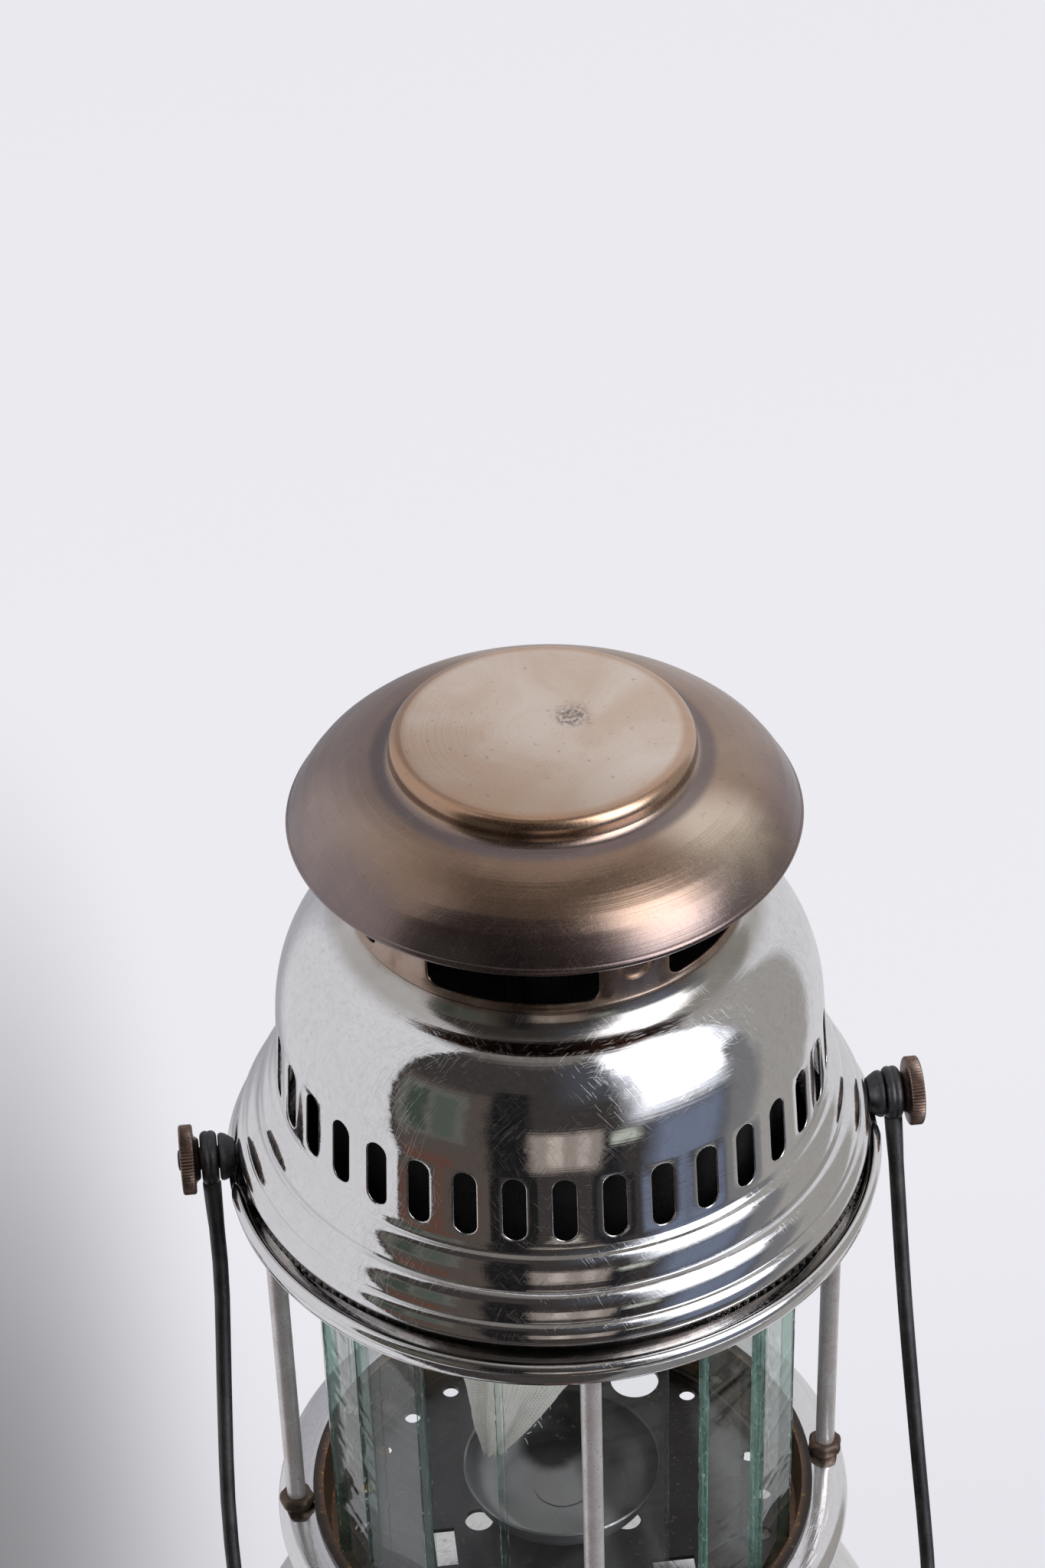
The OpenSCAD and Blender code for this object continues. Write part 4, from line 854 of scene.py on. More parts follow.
def add_hood(finish, soot_and_shade):
    run = Run(hood_line())
    first, slot_turn, window_turn = -8.9, -3.9, -16.9
    low, high = run.length_at(25.0), run.length_at(42.9)
    slot_low, slot_high = run.length_at(33.9) - 7.9, run.length_at(33.9) + 7.9
    neck, neck_top = run.length_at(73.2), run.length_at(92.9)
    parts = [strip(first, 180, run.stops(0, low)), strip(first, 180, run.stops(high, neck)),
             strip(first, 180, run.stops(neck_top, run.lengths[-1]))]
    lips = [rounded(4.8, slot_low, slot_high, 2.4, 1.04, 1, 7, grow, depth)
            for grow, depth in ((0, -0.3), (0.16, -0.08), (0.42, 0))]
    slots = [cell(*lips, border(10, low, high, 5, 11)) for _ in range(36)]
    for k, bm in enumerate(slots):
        bmesh.ops.translate(bm, vec=(slot_turn + 10 * k, 0, 0), verts=bm.verts)
    per = math.radians(1) * 41.8
    window_low, window_high = run.length_at(74.0), run.length_at(92.0)
    for k in range(5):
        lips = [rounded(50 * per, window_low, window_high, 2.5, per, 24, 8, grow, depth)
                for grow, depth in ((0, -0.25), (0.2, -0.06), (0.45, 0))]
        window = cell(*lips, border(56, neck, neck_top, 28, 12))
        bmesh.ops.translate(window, vec=(window_turn + 72 * k, 0, 0), verts=window.verts)
        middle = run.length_at(81.0)
        rings = [[((r * math.cos(a)) / per, middle + r * math.sin(a), -deep)
                  for a in (math.radians(-126.9 + 9 * j) for j in range(40))]
                 for r, deep in ((0.7, 0.85), (1.9, 0.82), (2.8, 0.72), (3.5, 0.42), (4.0, 0.12), (4.5, 0))]
        dimple = cell(*rings, border(16, neck, neck_top, 8, 12))
        bmesh.ops.holes_fill(dimple, edges=[e for e in dimple.edges if e.is_boundary
                                            and abs(e.verts[0].co.z) > 0.8], sides=0)
        bmesh.ops.translate(dimple, vec=(window_turn + 36 + 72 * k, 0, 0), verts=dimple.verts)
        parts += [window, dimple]
    bm = together(*parts, *slots)
    for v in bm.verts:
        turn, length, depth = v.co
        point, side = run.at(length)
        point = point + side * depth
        off = point.x * math.radians(min(abs(turn - 90), abs(turn + 90), abs(turn - 270)))
        if point.y < 7.4 and off < 3.2:
            point.y = max(point.y, 3.8 + math.sqrt(3.2 ** 2 - off ** 2))
        v.co = out(turn) * point.x + UP * (LIP + point.y)
    bmesh.ops.remove_doubles(bm, verts=bm.verts, dist=0.02)
    bmesh.ops.recalc_face_normals(bm, faces=bm.faces)
    finish_piece(bm, "hood_shell", "hood", finish, "hood_chrome", "hood", wall=0.6, sharp=50, inside=soot_and_shade)


def walled(bm, thickness):
    """A thin shell given a wall on its inside."""
    bmesh.ops.solidify(bm, geom=bm.faces[:], thickness=thickness)
    bmesh.ops.recalc_face_normals(bm, faces=bm.faces)
    return bm


def add_cap(finish):
    line = [(0, 111.9), (12, 112.0), (24, 112.0)] + arc(29.0, 109.4, 2.6, 90, -4, 12)
    line += [(31.5, 108.2), (31.7, 107.2), (32.7, 106.4), (34.6, 105.95), (37.4, 105.35), (40.4, 104.3),
             (44.0, 102.5), (47.2, 100.4), (49.8, 98.0), (51.7, 95.3), (53.0, 92.9), (53.35, 91.9)]
    line = [(r, LIP + z) for r, z in eased(line, 0.5, 3.0, 3.0)]
    shell = walled(spun(line), 0.7)
    rim = spun([(52.6 + x, LIP + 91.8 + y) for x, y in arc(0, 0, 1.0, 0, 360, 16)[:-1]], closed=True)
    finish_piece(together(shell, rim), "cap_shell", "hood", finish, "cap_stained", "hood_cap", sharp=50)

def outlined(count, teeth, deep, r, z=0.0):
    """A round outline with teeth, count points in all."""
    line = []
    for k in range(count):
        a = math.tau * k / count
        reach = r - deep * (0.5 - 0.5 * math.cos(a * teeth)) if teeth else r
        line.append((reach * math.cos(a), reach * math.sin(a), z))
    return line


def capped(bm, frame=None):
    """Closes a cell's open ends and points its faces outwards."""
    bmesh.ops.holes_fill(bm, edges=[e for e in bm.edges if e.is_boundary], sides=0)
    bmesh.ops.recalc_face_normals(bm, faces=bm.faces)
    if frame is not None:
        bmesh.ops.transform(bm, matrix=frame, verts=bm.verts)
    return bm


def add_gallery(finish):
    """The ring that carries the hood, its lip rolled over a wire and cut away beside each stud."""
    z = LIP
    section = [(51.3, z + 0.4), (51.3, z - 0.5), (55.65, z - 0.7), (55.65, z - 4.4), (56.2, z - 4.9), (69.6, z - 4.9),
               (71.2, z - 4.3), (72.0, z - 2.8), (72.1, z - 0.9), (70.9, z - 0.9), (70.8, z - 2.6), (70.2, z - 3.5),
               (69.2, z - 3.9), (56.9, z - 3.9), (56.9, z + 0.4)]
    parts = [spun(section, closed=True)]
    parts.append(spun([(64.9, z - 4.4), (66.0, z - 4.4), (66.0, z + 12.6), (65.7, z + 12.9), (65.2, z + 12.9),
                       (64.9, z + 12.6)], closed=True))
    for start in (-86.0, 94.0):
        steps = 100
        turns = [start + 172.0 * i / steps for i in range(steps + 1)]
        roll = [out(t) * 71.1 + UP * (z + 0.2) for t in turns]
        ends = [1.4 * math.sin(math.radians(a)) for a in (12, 50, 75)]
        parts.append(swept(roll, ends + [1.4] * (steps - 5) + ends[::-1], 20))
    finish_piece(together(*parts), "gallery_rolled_ring", "frame", finish, "hood_chrome", "gallery_ring", sharp=32)


def add_base_ring(finish):
    """The ring under the posts and the slotted stand that holds it over the tank."""
    line = arc(65.1, BASE - 3, 3, -62, 90, 14) + [(58.7, BASE), (58.5, BASE - 0.2)]
    flange = walled(spun(line), 1.0)
    run = Run([(56.0, 97.2), (56.6, 105.0), (59.6, 143.0), (59.9, BASE - 1.2)])
    low, high, top = run.length_at(102.5), run.length_at(142.5), run.lengths[-1]
    windows, columns, wide = 7, 26, 36.0
    pitch = 360 / windows
    parts = [strip(-pitch / 2, windows * columns, rows, pitch / columns) for rows in ([0, low], [high, top])]
    per = math.radians(1) * 58
    hole_low, hole_high = run.length_at(107.0), run.length_at(138.0)
    for k in range(windows):
        lips = [rounded(wide * per, hole_low, hole_high, 3.0, per, 22, 10, grow, depth)
                for grow, depth in ((0, -0.3), (0.4, 0))]
        window = cell(*lips, border(pitch, low, high, columns, 14))
        bmesh.ops.translate(window, vec=(pitch * k, 0, 0), verts=window.verts)
        parts.append(window)
    stand = together(*parts)
    for v in stand.verts:
        point, side = run.at(v.co.y)
        point = point + side * v.co.z
        v.co = out(v.co.x) * point.x + UP * point.y
    bmesh.ops.remove_doubles(stand, verts=stand.verts, dist=0.02)
    bmesh.ops.recalc_face_normals(stand, faces=stand.faces)
    foot = spun([(51, 97.0), (56.4, 97.0), (56.4, 98.0), (51, 98.0)], closed=True)
    finish_piece(together(flange, walled(stand, 1.0), foot), "base_ring_and_stand", "frame", finish, "hood_chrome",
                 "base_ring", sharp=40)


def add_posts(finish, rusty):
    """Four drawn rods, each headed over at the gallery and held by a round rusted nut."""
    low, high = BASE - 1.2, LIP - 4.5
    nuts = []
    for k in range(4):
        frame_at = standing(90.0 * k, 63.6)
        rod = spun([(0, low - 1.6), (2.3, low - 1.6), (2.8, low - 1.1), (2.8, low), (2.25, low + 0.1),
                    (2.25, high - 0.1), (1.8, high), (1.8, high + 1.2), (1.5, high + 2.1), (0, high + 2.4)],
                   steps=40, frame=frame_at)
        finish_piece(rod, f"post_{k + 1}", "frame", finish, "frame_nickel", f"frame_post_{k + 1}")
        shape = [(2.4, 0.05, 0.0), (3.5, 0.0, 0.05), (4.0, 0.7, 0.12), (4.2, 1.7, 0.2), (4.05, 2.7, 0.2),
                 (3.5, 3.35, 0.1), (2.9, 3.55, 0.0), (2.35, 3.5, 0.0)]
        loops = [outlined(48, 6, deep * 2.2, r, BASE + z) for r, z, deep in shape]
        nut = cell(*loops)
        bmesh.ops.recalc_face_normals(nut, faces=nut.faces)
        bmesh.ops.transform(nut, matrix=frame_at @ Matrix.Rotation(math.radians(17 * k), 4, "Z"), verts=nut.verts)
        nuts.append(nut)
    finish_piece(together(*nuts), "post_nuts_rusted", "frame", rusty, "nut_rusty", "post_nuts")


def add_glass(finish, edge_finish):
    """Seventeen cut strips in their seats, with snapped edges that are ground only here and there."""
    pitch = 20.0
    inner, thick, length, wide = 51.5, 3.0, 117.0, 2 * 51.5 * math.tan(math.radians(10)) - 0.5
    for i in range(1, 18):
        turn = 20.2 - pitch * (i - 0.5) if i <= 9 else 29.2 + pitch * (i - 9.5)
        rng = random.Random(40 + i)
        bm = bmesh.new()
        bmesh.ops.create_cube(bm, size=1.0)
        bmesh.ops.scale(bm, vec=(thick, wide, length), verts=bm.verts)
        upright = [e for e in bm.edges if abs(e.verts[0].co.z - e.verts[1].co.z) > length / 2]
        cut = bmesh.ops.subdivide_edges(bm, edges=upright, cuts=64, use_grid_fill=True)
        del cut
        corners = [e for e in bm.edges if e.calc_face_angle(0) > 1.0]
        bmesh.ops.bevel(bm, geom=corners, offset=0.22, affect="EDGES", segments=2, profile=0.5, material=-1)
        for v in bm.verts:
            if abs(v.co.y) > wide / 2 - 0.4 and abs(v.co.z) < length / 2 - 0.5:
                place = Vector((v.co.x * 0.7, v.co.y + 31 * i, v.co.z * 0.55))
                chip = max(0.0, noise.fractal(place, 0.8, 2.2, 4) - 0.18)
                v.co.y -= math.copysign(min(0.3, 0.5 * chip) + 0.03 * rng.random(), v.co.y)
                v.co.x *= 1 - min(0.08, 0.16 * chip)
        bmesh.ops.recalc_face_normals(bm, faces=bm.faces)
        for face in bm.faces:
            face.material_index = 1 if abs(face.normal.x) < 0.75 else 0
        bmesh.ops.transform(bm, matrix=standing(turn, inner + thick / 2, 140 + length / 2), verts=bm.verts)
        finish_piece(bm, f"glass_pane_{i:02d}", "frame", finish, "strip_glass", f"glass_strip_{i:02d}",
                     second=edge_finish, sharp=25, flat=True)


def pivot_frame(side):
    """A frame on the bail's pivots, z outwards along the stud."""
    return along((0, 0, PIVOT), (side, 0, 0))


def add_pivots(steel, bronze):
    """Each side's stud with its flared spacer, and the knurled nut that holds the bail's eye."""
    for side, name in ((-1, "left"), (1, "right")):
        base = pivot_frame(side)
        stud = spun([(0, 63.3), (3.5, 63.3), (4.0, 63.8), (4.0, 64.7), (2.5, 64.8), (2.5, 70.2), (3.7, 70.4),
                     (4.3, 71.2), (5.0, 72.3), (5.25, 72.9), (5.2, 73.6), (4.7, 73.9), (2.5, 73.95), (2.5, 82.2),
                     (2.1, 82.8), (1.2, 82.95), (0, 82.95)], steps=48, frame=base)
        finish_piece(stud, f"stud_and_spacer_{name}", "frame", steel, "bail_steel", f"bail_stud_{name}")
        shape = [(2.56, 78.2, 0), (4.2, 78.15, 0), (4.6, 78.4, 0), (5.0, 79.0, 0), (5.6, 79.25, 0), (7.3, 79.3, 0.1),
                 (7.6, 79.5, 0.26), (7.7, 79.7, 0.3), (7.7, 81.9, 0.3), (7.6, 82.1, 0.26), (7.35, 82.3, 0.1),
                 (7.0, 82.35, 0), (3.4, 82.35, 0), (3.0, 82.1, 0), (2.56, 82.0, 0)]
        loops = [outlined(256, 64, deep, r, z) for r, z, deep in shape]
        nut = cell(*loops, loops[0])
        bmesh.ops.remove_doubles(nut, verts=nut.verts, dist=0.001)
        bmesh.ops.recalc_face_normals(nut, faces=nut.faces)
        bmesh.ops.transform(nut, matrix=base, verts=nut.verts)
        finish_piece(nut, f"knurled_nut_{name}", f"nut_{name}", bronze, "knurl_bronze", f"bail_nut_{name}", sharp=50)


def bail_line():
    """The bail's wire in its own plane, from the left eye round to the right one: across and away."""
    spread, corner, reach, eye = 2.0, 50.0, 198.0, EYE
    leg = reach - eye - spread
    lean = math.atan(spread / leg)
    cx, cy = eye + spread - corner * math.cos(lean), leg + corner * math.sin(lean)
    rise = reach - cy
    bow = (cx ** 2 + rise ** 2 - corner ** 2) / (2 * (rise - corner))
    middle = reach - bow
    end = math.atan2(cy - middle, cx)
    half = [(eye + spread * t / leg, t) for t in (5.6, 7, 9, 12, 16, 24, 32, 40, 50, 60, 70, 80, 90, 100, 110)]
    half += [(cx + corner * math.cos(a), cy + corner * math.sin(a))
             for a in (-lean + (end + lean) * k / 4 for k in range(5))]
    half += [(bow * math.cos(a), middle + bow * math.sin(a))
             for a in (end + (math.pi / 2 - end) * k / 36 for k in range(1, 37))]
    return [(-x, y) for x, y in half] + [(x, y) for x, y in half[-2::-1]]


def add_bail(finish):
    """Black wire whose ends are forged into eyes, with the slight waves of a handle that has been used."""
    plane = Matrix.Translation((0, 0, PIVOT)) @ Matrix.Rotation(math.radians(-115.5), 4, "X")
    line = bail_line()
    points, radii = [], []
    for k, (x, y) in enumerate(line):
        sway = noise.noise(Vector((x * 0.02, y * 0.02, 3.7))) * 0.5 * min(1.0, y / 40)
        if x < 0:
            sway_x = 0.7 * math.exp(-((y - 26) / 16) ** 2) - 1.6 * math.exp(-((y - 84) / 30) ** 2)
        else:
            sway_x = 0.6 * math.exp(-((y - 112) / 24) ** 2) - 0.35 * math.exp(-((y - 46) / 24) ** 2)
        points.append(plane @ Vector((x + sway_x, y, sway)))
        near = max(0.0, 1 - (y - 5.6) / 9)
        radii.append(1.6 + 0.15 * max(0.0, 1 - y / 160) + 0.3 * near ** 0.6)
    parts = [swept(points, radii, 20)]
    for side in (-1, 1):
        for shift, r in ((-0.62, 1.22), (0.62, 1.22)):
            ring = [plane @ Vector((side * (EYE + shift), 4.72 * math.sin(a), 4.72 * math.cos(a)))
                    for a in (math.tau * k / 40 for k in range(40))]
            parts.append(swept(ring, r + 0.02, 16, closed=True))
    finish_piece(together(*parts), "bail_wire", "bail", finish, "bail_steel", "bail", sharp=50)


def add_mantle(finish):
    """The cloth bag tied on the burner, pleated at its neck, folded flat and dragged to one side below."""
    top, tip, columns, rows = 241.0, 153.0, 216, 90
    bm = bmesh.new()
    around_layer = bm.verts.layers.float.new("around")
    down_layer = bm.verts.layers.float.new("down")
    bmesh.ops.create_grid(bm, x_segments=columns, y_segments=rows, size=0.5)
    for v in bm.verts:
        turn, t = math.tau * (v.co.x + 0.5), 0.5 - v.co.y
        u = 1 - t
        r = u ** 3 * 11.5 + 3 * u * u * t * 26 + 3 * u * t * t * 12.5 + t ** 3 * 2.2
        z = u ** 3 * top + 3 * u * u * t * 225 + 3 * u * t * t * 180 + t ** 3 * tip
        drag = ((top - z) / (top - tip)) ** 1.3
        ring = Vector((math.cos(turn), math.sin(turn), 0))
        fold = (0.05 + 0.16 * t) * math.cos(7 * turn + math.radians(60 * t) + 1.6 * math.sin(2 * turn))
        pleats = 0.05 * math.exp(-t * 9) * math.cos(26 * turn)
        crumple = 0.10 * noise.fractal(Vector((ring.x * 1.6, ring.y * 1.6, t * 4.5)), 0.7, 2.1, 4) * min(1, t * 5)
        wide = r * (1 + fold + pleats + crumple - 0.05)
        x, y = wide * ring.x, wide * ring.y * (1 - 0.42 * t)
        ragged = 1.3 * noise.noise(Vector((turn * 5, 0.3, 8.1))) * max(0.0, t - 0.93) / 0.07
        v[around_layer], v[down_layer] = turn * 17.0, t * 92.0
        v.co = (-15.8 * drag + x, 6 * drag ** 2 + y, z + ragged)
    bmesh.ops.remove_doubles(bm, verts=bm.verts, dist=0.004)
    bmesh.ops.recalc_face_normals(bm, faces=bm.faces)
    cloth = sum(face.calc_area() for face in bm.faces) * MM * MM
    obj = finish_piece(bm, "mantle_cloth", "frame", finish, "mantle_cloth", "mantle", wall=0.3, sharp=180)
    length = 0.098
    cloth / length
    rng = random.Random(9)
    hairs = []
    for _ in range(46):
        low = rng.random() < 0.5
        start = Vector((-15.4 + rng.uniform(-2.2, 2.2), 6 + rng.uniform(-1.2, 1.2), 153.6 + rng.uniform(0, 3)))
        if not low:
            t = rng.uniform(0.55, 0.95)
            start = Vector((-15.8 * t ** 1.3 + (1.2 - t) * 21 + rng.uniform(-1, 0.5), 6 * t * t - 2, 241 - 88 * t))
        way = Vector((rng.uniform(-0.3, 1), rng.uniform(-1, 1), rng.uniform(-1, 0.2))).normalized()
        bend = Vector((rng.uniform(-1, 1), rng.uniform(-1, 1), -0.6)) * 0.5
        length_mm = rng.uniform(0.8, 2.2)
        line = [start + way * length_mm * k / 4 + bend * (k / 4) ** 2 for k in range(5)]
        hairs.append(swept(line, [0.09, 0.09, 0.08, 0.07, 0.05], 5))
    finish_piece(together(*hairs), "mantle_threads", "frame", finish, "mantle_cloth")


def add_cup(finish):
    """The spirit cup on its stem."""
    rim, floor = 154.5, 145.5
    line = [(0, floor), (10.5, floor)] + arc(13.5, rim - 0.6, 9.2, -78, -4, 10) + [(22.9, rim - 0.3), (23.4, rim)]
    shell = walled(spun(eased(line, 0.4, 4, 4)), 0.5)
    stem = spun([(0, 137), (6.6, 137), (6.3, 137.6), (6.0, 138.5), (6.0, floor - 0.2), (6.8, floor + 0.2), (0, floor)],
                steps=64)
    finish_piece(together(shell, stem), "spirit_cup_turned", "frame", finish, "pan_metal", "spirit_cup")



def on_shoulder(place):
    """A frame on the tank's shoulder at place degrees from the right, leaning out by 45 degrees."""
    lean = math.radians(45)
    seat = Vector((56.5 + 26 * math.sin(lean), 0, 71 + 26 * math.cos(lean)))
    turn = Matrix.Rotation(math.radians(place), 4, "Z")
    return turn @ Matrix.Translation(seat) @ Matrix.Rotation(lean, 4, "Y")


def add_tank(finish, dark):
    """The drawn tank with its seam, the valve's boss and the bosses of the filler and the pump."""
    line = [(0, 6.4), (60, 6.2), (73.5, 6)] + arc(73.5, 15, 9, -85, -2, 14) + [(82.5, 17.5)]
    line += arc(82.25, 19, 1.25, -75, 75, 10) + [(82.5, 20.6), (82.5, 69)] + arc(56.5, 71, 26, 2, 88, 30)
    line += [(56, 97), (16.5, 97), (15, 97.3), (14.2, 98.2), (14, 99), (14, 100.4), (13.4, 101), (8, 101), (7.9, 98), (0, 98)]
    shell = spun(eased(line, 0.25, 2.5, 5.0))
    filler = spun([(13.6, -4), (13.0, -2.6), (12.6, -1.2), (12.5, 3.4), (12.1, 4.0), (10.0, 4.0), (9.6, 4.3), (9.5, 4.8),
                   (9.5, 10.5), (9.0, 11.0), (8.0, 11.0), (7.5, 10.5), (7.5, 1.6)], steps=96)
    throat = spun([(7.5, 1.6), (0, 1.6)], steps=96)
    # Painted shade: the floor of the filler's throat takes the near-black second finish.
    for face in throat.faces:
        face.material_index = 1
    filler = together(filler, throat)
    bmesh.ops.remove_doubles(filler, verts=filler.verts, dist=0.001)
    bmesh.ops.transform(filler, matrix=on_shoulder(200), verts=filler.verts)
    pump = spun([(12.0, -4), (11.4, -2.4), (11.0, -0.8), (11.0, 3.6), (10.6, 4.0), (8.4, 4.0), (8.4, -4)], closed=True,
                steps=96, frame=on_shoulder(-25))
    finish_piece(together(shell, filler, pump), "tank_shell", "frame", finish, "tank_metal", "fount", second=dark, sharp=40)


def knurled(shape, teeth, frame, per=8):
    """A turned shape of (radius, height, tooth depth), closed at both ends."""
    bm = cell(*[outlined(teeth * per, teeth, deep, r, z) for r, z, deep in shape])
    return capped(bm, frame)


def add_filler(nickel, enamel, black):
    """The fluted cap with the bezel that holds the gauge's lens, and the dial with its painted marks."""
    at = on_shoulder(200)
    shape = [(0.6, 12.8, 0), (9.8, 12.8, 0), (9.8, 4.8, 0), (10.1, 4.3, 0), (12.9, 4.3, 0.1), (13.5, 4.6, 0.3),
             (13.9, 5.1, 0.5), (14.0, 5.8, 0.6), (14.0, 16.6, 0.6), (13.9, 17.4, 0.45), (13.5, 18.0, 0.1), (13.3, 18.3, 0),
             (13.3, 19.0, 0), (12.9, 19.8, 0), (12.1, 20.2, 0), (11.2, 20.15, 0), (10.8, 19.8, 0), (10.75, 18.0, 0),
             (10.0, 17.9, 0), (9.9, 15.6, 0), (0.6, 15.6, 0)]
    finish_piece(knurled(shape, 30, at), "filler_cap_fluted", "filler", nickel, "cap_nickel", "filler_cap", sharp=34)
    dial = spun([(0, 15.65), (9.6, 15.65), (9.7, 15.75), (9.7, 16.0), (9.6, 16.1), (0.8, 16.1), (0.4, 16.3), (0.4, 17.2),
                 (0, 17.3)], steps=96)
    marks = []
    for i in range(13):
        long = 1.5 if i % 2 else 2.6
        outline = [(8.8 - long, -0.16), (8.8, -0.2), (8.8, 0.2), (8.8 - long, 0.16)]
        mark = slab(outline, 0.05, frame=Matrix.Rotation(math.radians(-30 + 20 * i), 4, "Z") @ Matrix.Translation((0, 0, 16.09)))
        for face in mark.faces:
            face.material_index = 1
        marks.append(mark)
    dial = together(dial, *marks)
    bmesh.ops.transform(dial, matrix=at, verts=dial.verts)
    finish_piece(dial, "gauge_dial_printed", "filler", enamel, "dial_enamel", "gauge_dial", second=black)


def add_pump(nickel, plastic):
    at = on_shoulder(-25)
    shape = [(2.6, 8.8, 0), (2.6, 6.3, 0), (11.3, 6.3, 0), (11.3, 0.9, 0), (11.5, 0.6, 0), (12.2, 0.6, 0.1),
             (12.7, 0.9, 0.3), (12.9, 1.4, 0.5), (12.9, 6.2, 0.5), (12.7, 6.9, 0.35), (12.1, 7.6, 0), (11.2, 8.1, 0),
             (8.6, 8.6, 0), (5.2, 8.95, 0), (3.1, 9.0, 0), (2.6, 8.8, 0)]
    cap = cell(*[outlined(256, 32, deep, r, z) for r, z, deep in shape])
    bmesh.ops.remove_doubles(cap, verts=cap.verts, dist=0.0005)
    finish_piece(capped(cap, at), "pump_cap_fluted", "frame", nickel, "cap_nickel", "pump_cap", sharp=34)
    line = [(0, 0), (6.0, 0), (6.2, 0.3), (5.9, 1.2), (6.2, 2.6)] + arc(7.4, 6.6, 2.6, -55, 62, 12)
    line += [(7.2, 9.7), (5.4, 10.35), (3.0, 10.8), (0, 11)]
    line = [(r, 9.3 + z) for r, z in eased(line, 0.25, 4.0, 2.0)]
    finish_piece(spun(line, steps=96, frame=at), "pump_knob_turned", "pump", plastic, "knob_plastic", "pump_knob")


def add_wheel(paint):
    """The lobed control wheel with six finger holes and a hub for the spindle."""
    step, hub = 5.0, 5.6
    rim = [(14.4, 0.0), (15.6, 0.1), (16.4, 0.5), (16.9, 1.3), (17.0, 2.2), (17.0, 3.8), (16.9, 4.7), (16.4, 5.5),
           (15.6, 5.9), (14.4, 6.0)]
    front = [(0.02, 0.7), (2.0, 0.65), (3.0, 0.2), (3.6, 0.0), (4.4, 0.25), (5.0, 0.25), (hub, 0.0)]
    back = [(hub, 6.0), (5.2, 6.3), (5.0, 6.8), (5.0, 9.4), (4.6, 10.0), (2.4, 10.0), (2.3, 9.7), (2.3, 1.5), (0.02, 1.5)]
    parts = []
    for line in (rim, front, back):
        sheet = strip(-30, 72, list(range(len(line))), step)
        for v in sheet.verts:
            r, z = line[round(v.co.y)]
            v.co = (v.co.x, r, z)
        parts.append(sheet)
    for k in range(6):
        rings = []
        for grow, z in ((0.7, 0.0), (0.2, 0.15), (0.0, 0.6), (0.0, 5.4), (0.2, 5.85), (0.7, 6.0)):
            angles = (math.radians(-126.9 + 9 * j) for j in range(40))
            points = [((2.6 + grow) * math.cos(a) * 1j + 10.2 + (2.6 + grow) * math.sin(a) for a in angles)]
            rings.append([(math.degrees(math.atan2(p.imag, p.real)), abs(p), z) for p in points[0]])
        edges = [[(x, y, z) for x, y, _ in border(60, hub, 14.4, 12, 8)] for z in (0.0, 6.0)]
        bm = cell(edges[0], *rings, edges[1])
        bmesh.ops.translate(bm, vec=(60 * k, 0, 0), verts=bm.verts)
        parts.append(bm)
    wheel = together(*parts)
    for v in wheel.verts:
        turn, r, z = v.co
        a = math.radians(turn)
        r -= 0.8 * (1 - math.cos(8 * a)) * (max(0.0, r - hub) / (17 - hub)) ** 1.5
        v.co = (r * math.cos(a), -88 + z, 118 - r * math.sin(a))
    bmesh.ops.remove_doubles(wheel, verts=wheel.verts, dist=0.03)
    bmesh.ops.recalc_face_normals(wheel, faces=wheel.faces)
    finish_piece(wheel, "control_wheel_lobed", "control", paint, "wheel_paint", "control_wheel", sharp=40)


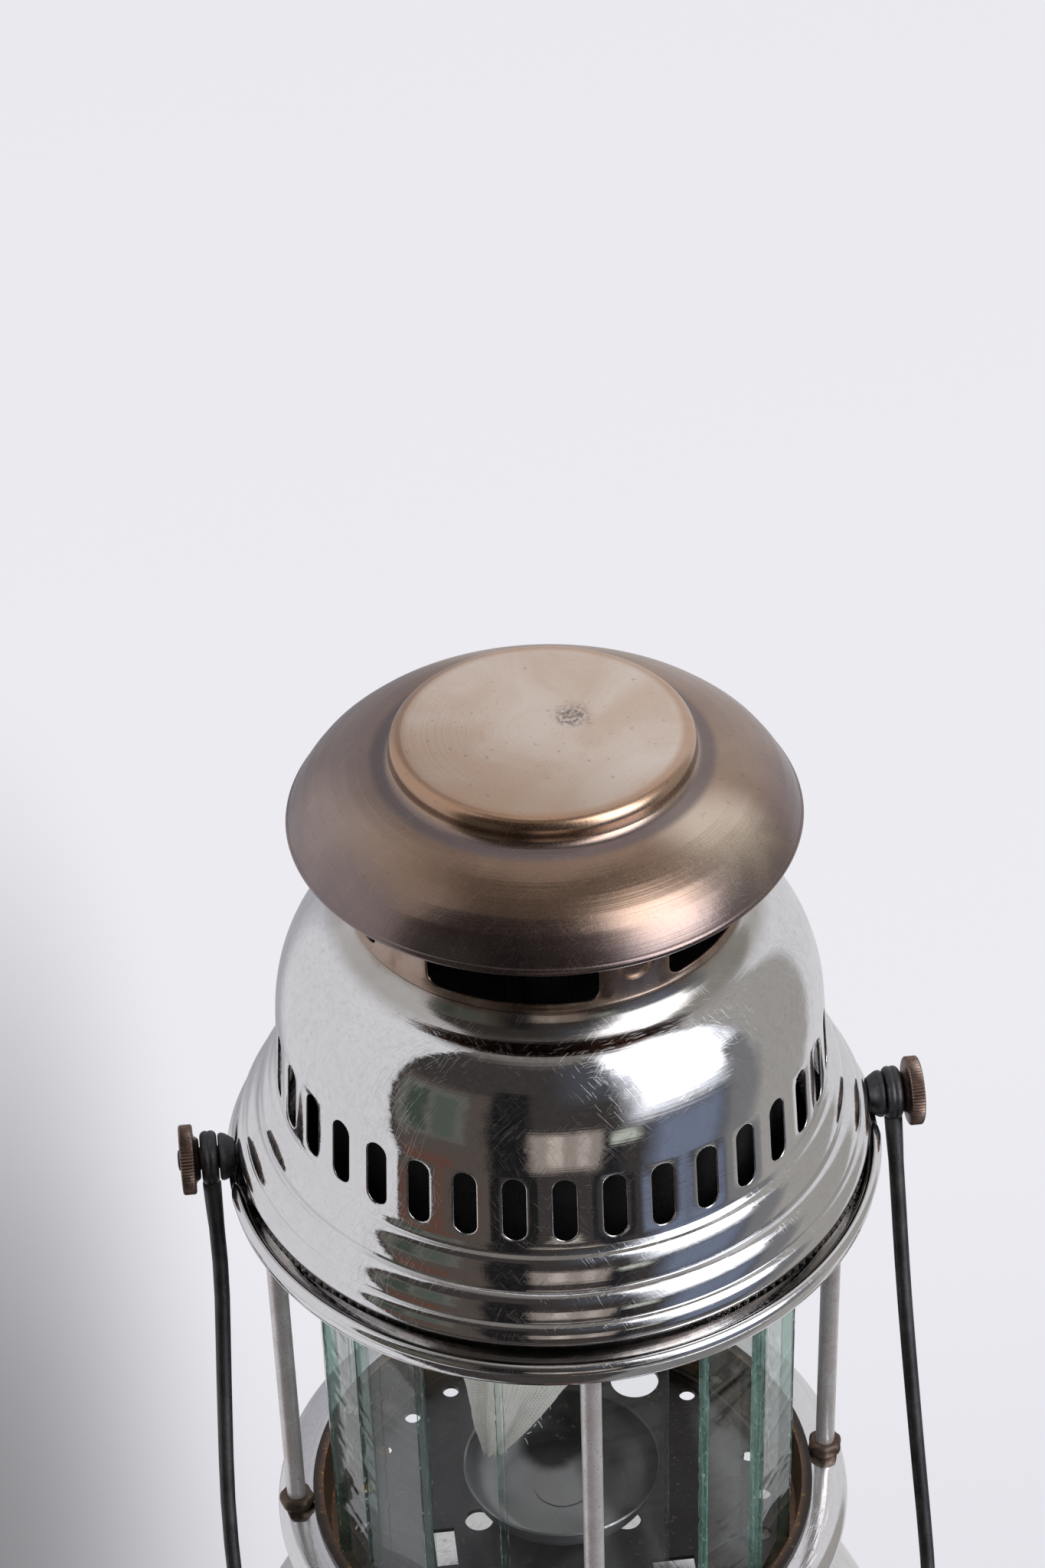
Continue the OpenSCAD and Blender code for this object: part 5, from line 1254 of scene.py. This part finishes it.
def main():
    scene.view_settings.view_transform = "Standard"
    add_camera()
    light_up()
    add_floor()
    add_room()
    hood = chrome("hood_chrome", stain=neck_stain)
    bright = chrome("bright_chrome", rough=0.05, dull=0.08)
    # Near-black: soot inside the hood and on the chimney and mixing tube, deepened there into painted shade, and
    # painted shade in the floor of the tank's filler throat.
    soot_and_shade = moulded("soot_and_shade", (0.006, 0.006, 0.006), 0.95, 0.1, worn=0.05)
    finishes = {
        "tank_metal": chrome("tank_chrome", (0.80, 0.80, 0.79), 0.08, dull=0.2),
        "foot_metal": worn_metal("foot_metal", (0.05, 0.05, 0.05), (0.08, 0.075, 0.07), (0.16, 0.13, 0.10), 0.35, 0.0),
        "fitting_brass": worn_metal("fitting_brass", (0.66, 0.48, 0.24), (0.56, 0.38, 0.18), (0.22, 0.14, 0.07), 0.24),
        "cap_nickel": worn_metal("cap_nickel", (0.68, 0.64, 0.56), (0.60, 0.55, 0.46), (0.25, 0.20, 0.14), 0.16),
        "gasket_rubber": moulded("gasket_rubber", (0.03, 0.03, 0.03), 0.75),
        "dial_enamel": moulded("dial_enamel", (0.80, 0.79, 0.73), 0.3, coat=1.0),
        "pointer_paint": moulded("pointer_paint", (0.02, 0.02, 0.02), 0.4),
        "lens_glass": glass("lens_glass", (0.98, 0.99, 0.985), 0.05),
        "steel_bare": worn_metal("steel_bare", (0.55, 0.55, 0.55), (0.48, 0.47, 0.45), (0.22, 0.17, 0.13), 0.22, rust=0.2),
        "knob_plastic": moulded("knob_plastic", (0.018, 0.018, 0.018), 0.22),
        "leather_brown": moulded("leather_brown", (0.16, 0.08, 0.035), 0.6, 0.12),
        "wheel_paint": worn_metal("wheel_paint", (0.34, 0.022, 0.016), (0.28, 0.02, 0.016), (0.10, 0.03, 0.02), 0.25, 0.0,
                                  coat=0.6),
        "pan_metal": pan_finish(),
        "burner_metal": worn_metal("burner_metal", (0.30, 0.27, 0.24), (0.22, 0.17, 0.14), (0.10, 0.08, 0.07), 0.45),
        "nozzle_ceramic": moulded("nozzle_ceramic", (0.74, 0.70, 0.62), 0.75, 0.15, worn=0.4),
        "mantle_cloth": cloth_finish(),
        "hood_chrome": bright,
        "cap_stained": cap_finish(),
        "frame_nickel": worn_metal("frame_nickel", (0.80, 0.77, 0.77), (0.70, 0.65, 0.63), (0.40, 0.32, 0.28), 0.3, 0.72,
                                   depth=0.04, rust=0.05),
        "nut_rusty": worn_metal("nut_rusty", (0.20, 0.15, 0.12), (0.13, 0.09, 0.07), (0.06, 0.04, 0.03), 0.45, rust=0.35),
        "bail_steel": worn_metal("bail_steel", (0.075, 0.075, 0.08), (0.12, 0.12, 0.125), (0.05, 0.045, 0.045), 0.42,
                                 rust=0.05),
        "knurl_bronze": worn_metal("knurl_bronze", (0.30, 0.22, 0.18), (0.22, 0.15, 0.12), (0.08, 0.06, 0.05), 0.3),
        "strip_glass": glass("strip_glass"),
    }
    add_hood(hood, soot_and_shade)
    add_cap(finishes["cap_stained"])
    add_gallery(chrome("gallery_chrome", rough=0.05, stain=groove_darkening, dull=0.08))
    add_base_ring(bright)
    add_posts(finishes["frame_nickel"], finishes["nut_rusty"])
    add_glass(finishes["strip_glass"], glass_edge())
    add_pivots(finishes["bail_steel"], finishes["knurl_bronze"])
    add_bail(finishes["bail_steel"])
    add_mantle(finishes["mantle_cloth"])
    add_cup(finishes["pan_metal"])
    add_tank(finishes["tank_metal"], soot_and_shade)
    add_filler(finishes["cap_nickel"], finishes["dial_enamel"], finishes["pointer_paint"])
    add_pump(finishes["cap_nickel"], finishes["knob_plastic"])
    add_wheel(finishes["wheel_paint"])
    slots = {part["node"]: part["material_slot"] for part in frame["record"]["subparts"]}
    for name, obj in frame["nodes"].items():
        if obj.hide_render:
            continue
        obj.data.materials.clear()
        obj.data.materials.append(soot_and_shade if name in ("inner_chimney", "mixing_tube") else finishes[slots[name]])


main()
